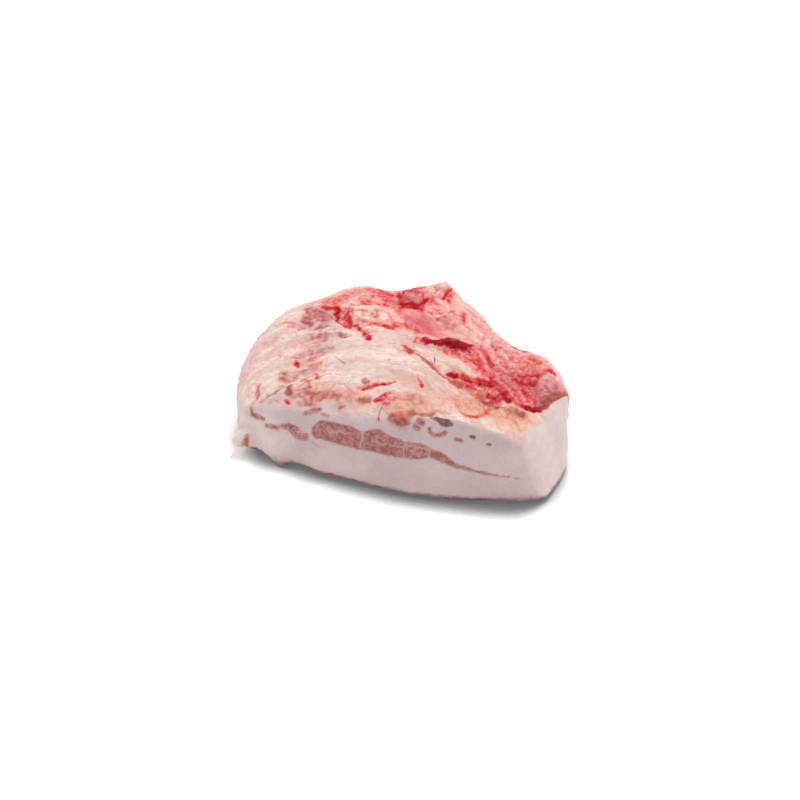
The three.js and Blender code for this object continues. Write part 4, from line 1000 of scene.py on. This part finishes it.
class MeatNodes(Nodes):
    """The nodes of the meat, with the noises and fields that several of its layers share."""

    def __init__(self):
        super().__init__("pork_jowl")
        place = self.add("ShaderNodeTexCoord", {}).outputs["Object"]
        self.place = self.stretched(place, (1 / MM, 1 / MM, 1 / MM))
        self.middle = self.noise(7.0, 4.0)
        self.small = self.noise(3.4)
        self.fine = self.noise(1.7, 4.0)
        self.tiny = self.noise(0.8, 2.0)
        self.strand, self.groove_and_shade = self.field("strand"), self.field("groove_and_shade")
        self.cut, self.smooth = self.field("cut"), self.field("smooth")
        self.off_cut = self.ramp(self.cut, 0.2, 0.8, 1, 0)
        self.warmer = self.ramp(self.field("warm"), 0, 1)
        self.cooler = self.ramp(self.field("warm"), 0, -1)
        self.pale = self.times(self.field("pale"), self.ramp(self.small, 0.35, 0.65, 0.45, 0.9))
        patchy = self.ramp(self.small, 0.3, 0.7, 1.25, 0.7)
        self.patchy = self.times(self.ramp(self.fine, 0.3, 0.7, 0.75, 1.25), patchy)
        across = self.maths("ABSOLUTE", self.field("across"))
        self.thin = self.ramp(self.total(across, self.ramp(self.fine, 0.3, 0.7, -0.35, 0.35)), 0.4, 1.5, 1, 0)

    def field(self, name):
        return self.add("ShaderNodeAttribute", {}, attribute_name=name).outputs["Fac"]

    def stretched(self, vector, scale):
        return self.add("ShaderNodeMapping", {"Vector": vector, "Scale": scale}).outputs["Vector"]

    def noise(self, grain, detail=3.0, stretch=None):
        vector = self.stretched(self.place, stretch) if stretch else self.place
        inputs = {"Vector": vector, "Scale": 1 / grain, "Detail": detail}
        return self.add("ShaderNodeTexNoise", inputs).outputs["Fac"]

    def bundles(self, size, stretch):
        """How far each place lies from the seams between rounded cells."""
        bent = self.add("ShaderNodeTexNoise", {"Vector": self.place, "Scale": 0.3})
        inputs = {0: bent.outputs["Color"], 1: (4, 4, 4), 2: self.place}
        moved = self.add("ShaderNodeVectorMath", inputs, operation="MULTIPLY_ADD")
        inputs = {"Vector": self.stretched(moved.outputs["Vector"], stretch), "Scale": 1 / size}
        return self.add("ShaderNodeTexVoronoi", inputs, feature="DISTANCE_TO_EDGE").outputs["Distance"]


def trimmed_fat(m):
    """The top's fat: cream strands, with pinker, greyer, warmer and cooler places, a painted highlight on the
    folds' ridges, and painted shade in the grooves and on the steep walls.
    """
    # random patches of tone, with a painted highlight on the folds' ridges
    tone = m.between(m.field("patch_and_highlight"), -0.42, 0.42, (235, 217, 206), (215, 182, 172))
    for value, span, shade in (
        (m.strand, (0.05, 0.6, 0, 0.45), (240, 224, 213)),
        (m.strand, (-0.05, -0.6, 0, 0.4), (217, 179, 167)),
        (m.middle, (0.48, 0.7, 0, 0.5), (220, 184, 170)),
        (m.small, (0.52, 0.7, 0, 0.3), (221, 184, 170)),
        (m.fine, (0.52, 0.7, 0, 0.4), (214, 172, 160)),
        (m.fine, (0.48, 0.32, 0, 0.3), (244, 230, 220)),
    ):
        tone = m.over(tone, m.ramp(value, *span), shade)
    flecks = m.ramp(m.noise(2.6, 2.0, (0.6, 1, 0.8)), 0.55, 0.68, 0, 0.8)
    tone = m.over(tone, m.times(flecks, m.ramp(m.middle, 0.38, 0.58, 0.2, 1)), (208, 160, 146))
    # painted shade in the grooves
    tone = m.over(tone, m.ramp(m.groove_and_shade, 0.2, 0.9, 0, 0.45), (216, 172, 160))
    tone = m.over(tone, m.times(m.warmer, m.ramp(m.middle, 0.3, 0.65, 0.55, 1)), (229, 182, 158))
    tone = m.over(tone, m.times(m.cooler, m.ramp(m.middle, 0.3, 0.65, 1, 0.6)), (224, 205, 202))
    tone = m.over(tone, m.times(m.pale, m.off_cut), (240, 224, 213))
    # painted shade on the steep walls
    return m.over(tone, m.times(m.field("steep_shade"), m.ramp(m.middle, 0.3, 0.7, 0.3, 0.65)), (212, 160, 154))


def cut_fat(m):
    """The knife cuts: cool white fat, creamier on the right cut and at the front's left end."""
    tone = m.between(m.noise(24.0), 0.3, 0.7, (211, 190, 190), (203, 178, 179))
    tone = m.over(tone, m.ramp(m.middle, 0.45, 0.75, 0, 0.35), (218, 191, 184))
    tone = m.over(tone, m.times(m.field("cream"), m.ramp(m.middle, 0.3, 0.7, 0.5, 1)), (229, 213, 207))
    return m.over(tone, m.pale, (234, 222, 212))


def blood_amount(m):
    """How much blood there is: gathered in the grooves, thin on the lumps, and in specks on mottled fat."""
    uneven = (m.ramp(m.fine, 0.32, 0.68, -0.12, 0.12), m.ramp(m.small, 0.32, 0.68, -0.22, 0.22))
    varied = m.total(*uneven, m.times(m.groove_and_shade, 0.3), 0.9, m.ramp(m.strand, -0.5, 0.5, 0.15, -0.15))
    calm = m.mix(m.smooth, varied, m.ramp(m.middle, 0.3, 0.7, 0.85, 1.15))
    specks = m.total(m.ramp(m.middle, 0.5, 0.7, 0, 0.22), m.ramp(m.small, 0.52, 0.7, 0, 0.22))
    specks = m.total(specks, m.times(m.groove_and_shade, 0.15))
    return m.total(m.times(m.field("blood"), calm), m.times(specks, m.field("mottle"), m.off_cut))


# Colours of blood on fat from a faint stain to a thick one, as they are on cream, orange and lilac fat.
BLOOD_FULL = 2.6
BLOOD_AMOUNTS = (0.0, 0.3, 0.6, 0.9, 1.2, 1.6, 2.0, 2.6)
BLOOD = (
    (238, 216, 204), (235, 192, 183), (231, 162, 156), (226, 128, 126),
    (218, 94, 98), (210, 58, 70), (198, 32, 50), (152, 16, 34),
)
WARM_BLOOD = (
    (238, 205, 184), (235, 184, 160), (229, 150, 124), (222, 118, 92),
    (214, 88, 68), (208, 56, 50), (192, 34, 40), (146, 16, 28),
)
COOL_BLOOD = (
    (230, 211, 209), (228, 190, 188), (220, 156, 160), (206, 116, 126),
    (190, 78, 94), (168, 44, 66), (140, 24, 46), (104, 12, 32),
)


def blood_colour(m, amount):
    share = m.maths("DIVIDE", amount, BLOOD_FULL)
    places = [at / BLOOD_FULL for at in BLOOD_AMOUNTS]
    red, warm, cool = (m.steps(share, places, shades) for shades in (BLOOD, WARM_BLOOD, COOL_BLOOD))
    return m.mix(m.cooler, m.mix(m.warmer, red, warm), cool)


def with_muscle(m, tone, amount):
    """Muscle near the surface, less under thick blood, and raw meat."""
    muscle = m.between(m.small, 0.35, 0.65, (178, 90, 92), (206, 136, 132))
    muscle = m.mix(m.warmer, muscle, m.between(m.small, 0.35, 0.65, (180, 98, 80), (205, 132, 110)))
    here = m.ramp(m.times(m.field("muscle"), m.patchy), 0.05, 0.9)
    tone = m.mix(m.times(here, m.ramp(amount, 1.0, 2.0, 1, 0.3)), tone, muscle)
    raw = m.between(m.small, 0.3, 0.7, (152, 66, 66), (186, 104, 96))
    return m.mix(m.ramp(m.times(m.field("raw"), m.patchy), 0.05, 0.95), tone, raw)


def with_lines(m, tone):
    """Thin veins, dark lines and soft streaks."""
    tone = m.over(tone, m.times(m.field("red_line"), m.thin, 0.8), (184, 72, 70))
    tone = m.over(tone, m.times(m.field("dark_line"), m.thin), (104, 76, 70))
    return m.over(tone, m.times(m.field("streak"), m.ramp(m.small, 0.3, 0.65, 0.4, 1)), (198, 144, 139))


def with_lean(m, tone):
    """Lean in the front cut, with soft broken lines of fat through it, and the glands above it."""
    lean = m.between(m.small, 0.3, 0.7, (158, 92, 87), (184, 123, 117))
    seams = m.ramp(m.bundles(4.2, (0.8, 1, 1.1)), 0.0, 0.16, 0.55, 0)
    seams = m.times(seams, m.ramp(m.middle, 0.42, 0.62, 0.1, 1))
    grains = m.ramp(m.bundles(1.9, (0.9, 1, 1)), 0.0, 0.2, 0.35, 0)
    grains = m.times(grains, m.ramp(m.small, 0.4, 0.62, 0, 1))
    lean = m.over(lean, m.maths("MAXIMUM", seams, grains), (204, 160, 155))
    lean = m.over(lean, m.times(m.field("marbled"), m.ramp(m.fine, 0.46, 0.64, 0, 0.6)), (208, 168, 163))
    lean = m.over(lean, m.times(m.field("pale_line"), m.thin, 0.85), (210, 175, 172))
    edge = m.total(m.field("lean"), m.ramp(m.fine, 0.3, 0.7, -0.2, 0.2))
    edge = m.total(edge, m.ramp(m.small, 0.3, 0.7, -0.35, 0.35))
    tone = m.mix(m.ramp(edge, -0.9, 0.8), tone, lean)
    gland = m.between(m.small, 0.3, 0.7, (112, 84, 80), (146, 108, 98))
    edge = m.total(m.field("gland"), m.ramp(m.fine, 0.3, 0.7, -0.3, 0.3))
    return m.mix(m.ramp(edge, -0.8, 0.7), tone, gland)


def with_skin(m, tone):
    """The skin below, and the dark rind around its rim, whose darkness is partly painted shade where the meat
    meets the floor.
    """
    skin = m.between(m.middle, 0.4, 0.7, (228, 196, 180), (216, 172, 158))
    tone = m.mix(m.field("under"), tone, skin)
    # the rind's dark colour, partly painted shade along the foot
    return m.over(tone, m.times(m.field("rind_and_shade"), m.ramp(m.middle, 0.35, 0.65, 0.45, 0.9)), (134, 86, 94))


def bumps(m):
    height = m.total(m.times(m.tiny, 0.15), m.times(m.fine, 0.6), m.times(m.small, 0.5))
    strength = m.ramp(m.maths("MAXIMUM", m.cut, m.smooth), 0.2, 0.8, 0.65, 0.1)
    inputs = {"Height": height, "Strength": strength, "Distance": 0.5 * MM}
    return m.add("ShaderNodeBump", inputs).outputs["Normal"]


def meat_material():
    """Fat, blood, muscle, lines, lean and skin laid over each other, and the clot on top of them."""
    m = MeatNodes()
    tone = m.mix(m.ramp(m.cut, 0.15, 0.85), trimmed_fat(m), cut_fat(m))
    amount = blood_amount(m)
    tone = m.mix(m.ramp(amount, 0.03, 0.5), tone, blood_colour(m, amount))
    tone = with_skin(m, with_lean(m, with_lines(m, with_muscle(m, tone, amount))))
    thick = m.ramp(m.total(m.field("clot"), m.ramp(m.fine, 0.3, 0.7, -0.3, 0.3)), -0.4, 0.5)
    tone = m.mix(thick, tone, m.between(m.small, 0.35, 0.65, (138, 16, 32), (172, 40, 54)))

    # grooves between the lumps get a little painted shade, and everything is finely grained
    tone = m.over(tone, m.times(m.groove_and_shade, 0.4), (222, 196, 190), "MULTIPLY")
    tone = m.mix(0.1, tone, m.between(m.tiny, 0.3, 0.7, (120, 110, 110), (255, 255, 255)), "OVERLAY")

    wet = m.maths("MAXIMUM", m.ramp(amount, 0.7, 1.8), thick)
    wet = m.maths("MAXIMUM", wet, m.times(m.smooth, 0.7))
    return m.finished({
        "Base Color": tone,
        "Roughness": m.ramp(wet, 0, 1, 0.5, 0.4),
        "Normal": bumps(m),
        "Subsurface Weight": 0.2,
        "Subsurface Radius": (1.0, 0.5, 0.4),
        "Subsurface Scale": 2.0 * MM,
        "Specular IOR Level": m.ramp(amount, 0.4, 1.4, 0.35, 0.12),
        "IOR": 1.4,
    })


def direction(azimuth, elevation):
    """The way from the meat to a camera or a light. Azimuth 0 is in front of the long cut."""
    turn, rise = math.radians(azimuth), math.radians(elevation)
    return Vector((math.sin(turn) * math.cos(rise), -math.cos(turn) * math.cos(rise), math.sin(rise)))


def camera():
    back = direction(CAMERA_AZIMUTH, CAMERA_ELEVATION)
    right = Vector((math.cos(math.radians(CAMERA_AZIMUTH)), math.sin(math.radians(CAMERA_AZIMUTH)), 0))
    up = back.cross(right)
    place = Vector(CAMERA_TARGET) + CAMERA_DISTANCE * back
    data = bpy.data.cameras.new("camera")
    data.sensor_width = SENSOR
    data.lens = SENSOR * CAMERA_DISTANCE / (MM_PER_PIXEL * PICTURE_PIXELS)
    data.clip_start = 10 * MM
    seen = bpy.data.objects.new("camera", data)
    turned = Matrix((right, up, back)).transposed().to_4x4()
    seen.matrix_world = Matrix.Translation(place * MM) @ turned
    bpy.context.scene.collection.objects.link(seen)
    bpy.context.scene.camera = seen


def soft_light(name, azimuth, elevation, distance, size, watts):
    data = bpy.data.lights.new(name, "AREA")
    data.shape = "DISK"
    data.size = size
    data.energy = watts
    light = bpy.data.objects.new(name, data)
    way = direction(azimuth, elevation)
    light.location = way * distance
    light.rotation_euler = way.to_track_quat("Z", "Y").to_euler()
    bpy.context.scene.collection.objects.link(light)


def floor_material():
    """White, glowing a little, and with a painted shadow close under the meat, from ambient occlusion in its
    colour.
    """
    m = Nodes("floor")
    way = m.add("ShaderNodeCombineXYZ", dict(enumerate(PAINTED_SHADOW_FROM))).outputs["Vector"]
    # painted shadow: ambient occlusion towards the back sets the floor's colour
    painted_shadow = m.add("ShaderNodeAmbientOcclusion", {"Distance": PAINTED_SHADOW_REACH * MM, "Normal": way}, samples=16)
    return m.finished({
        "Base Color": m.ramp(painted_shadow.outputs["AO"], *PAINTED_SHADOW_RANGE),
        "Roughness": 1.0,
        "Specular IOR Level": 0.0,
        "Emission Color": (1, 1, 1, 1),
        "Emission Strength": FLOOR_GLOW,
    })


def studio():
    """A white floor, a white surround, a soft light high behind and a weak one on each side."""
    mesh = bpy.data.meshes.new("floor")
    corners = [(x * FLOOR_HALF, y * FLOOR_HALF, 0) for x, y in ((-1, -1), (1, -1), (1, 1), (-1, 1))]
    mesh.from_pydata(corners, [], [(0, 1, 2, 3)])
    floor = bpy.data.objects.new("floor", mesh)
    bpy.context.scene.collection.objects.link(floor)
    mesh.materials.append(floor_material())
    world = bpy.data.worlds.new("surround")
    world.use_nodes = True
    world.node_tree.nodes["Background"].inputs["Color"].default_value = (1, 1, 1, 1)
    world.node_tree.nodes["Background"].inputs["Strength"].default_value = SURROUND
    bpy.context.scene.world = world
    soft_light("key", **KEY)
    soft_light("fill", **FILL)
    soft_light("left_fill", **LEFT_FILL)


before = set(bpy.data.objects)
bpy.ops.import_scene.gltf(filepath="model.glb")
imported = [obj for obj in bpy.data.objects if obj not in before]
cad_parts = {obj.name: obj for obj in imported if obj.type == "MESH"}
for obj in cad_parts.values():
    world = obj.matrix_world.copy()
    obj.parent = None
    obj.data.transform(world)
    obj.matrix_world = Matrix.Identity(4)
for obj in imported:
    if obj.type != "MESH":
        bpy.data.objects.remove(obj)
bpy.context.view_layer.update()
bpy.context.scene.view_settings.view_transform = "Standard"
camera()
studio()
meat = jowl()
meat.data.materials.append(meat_material())
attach(meat, "root")
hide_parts("jowl")
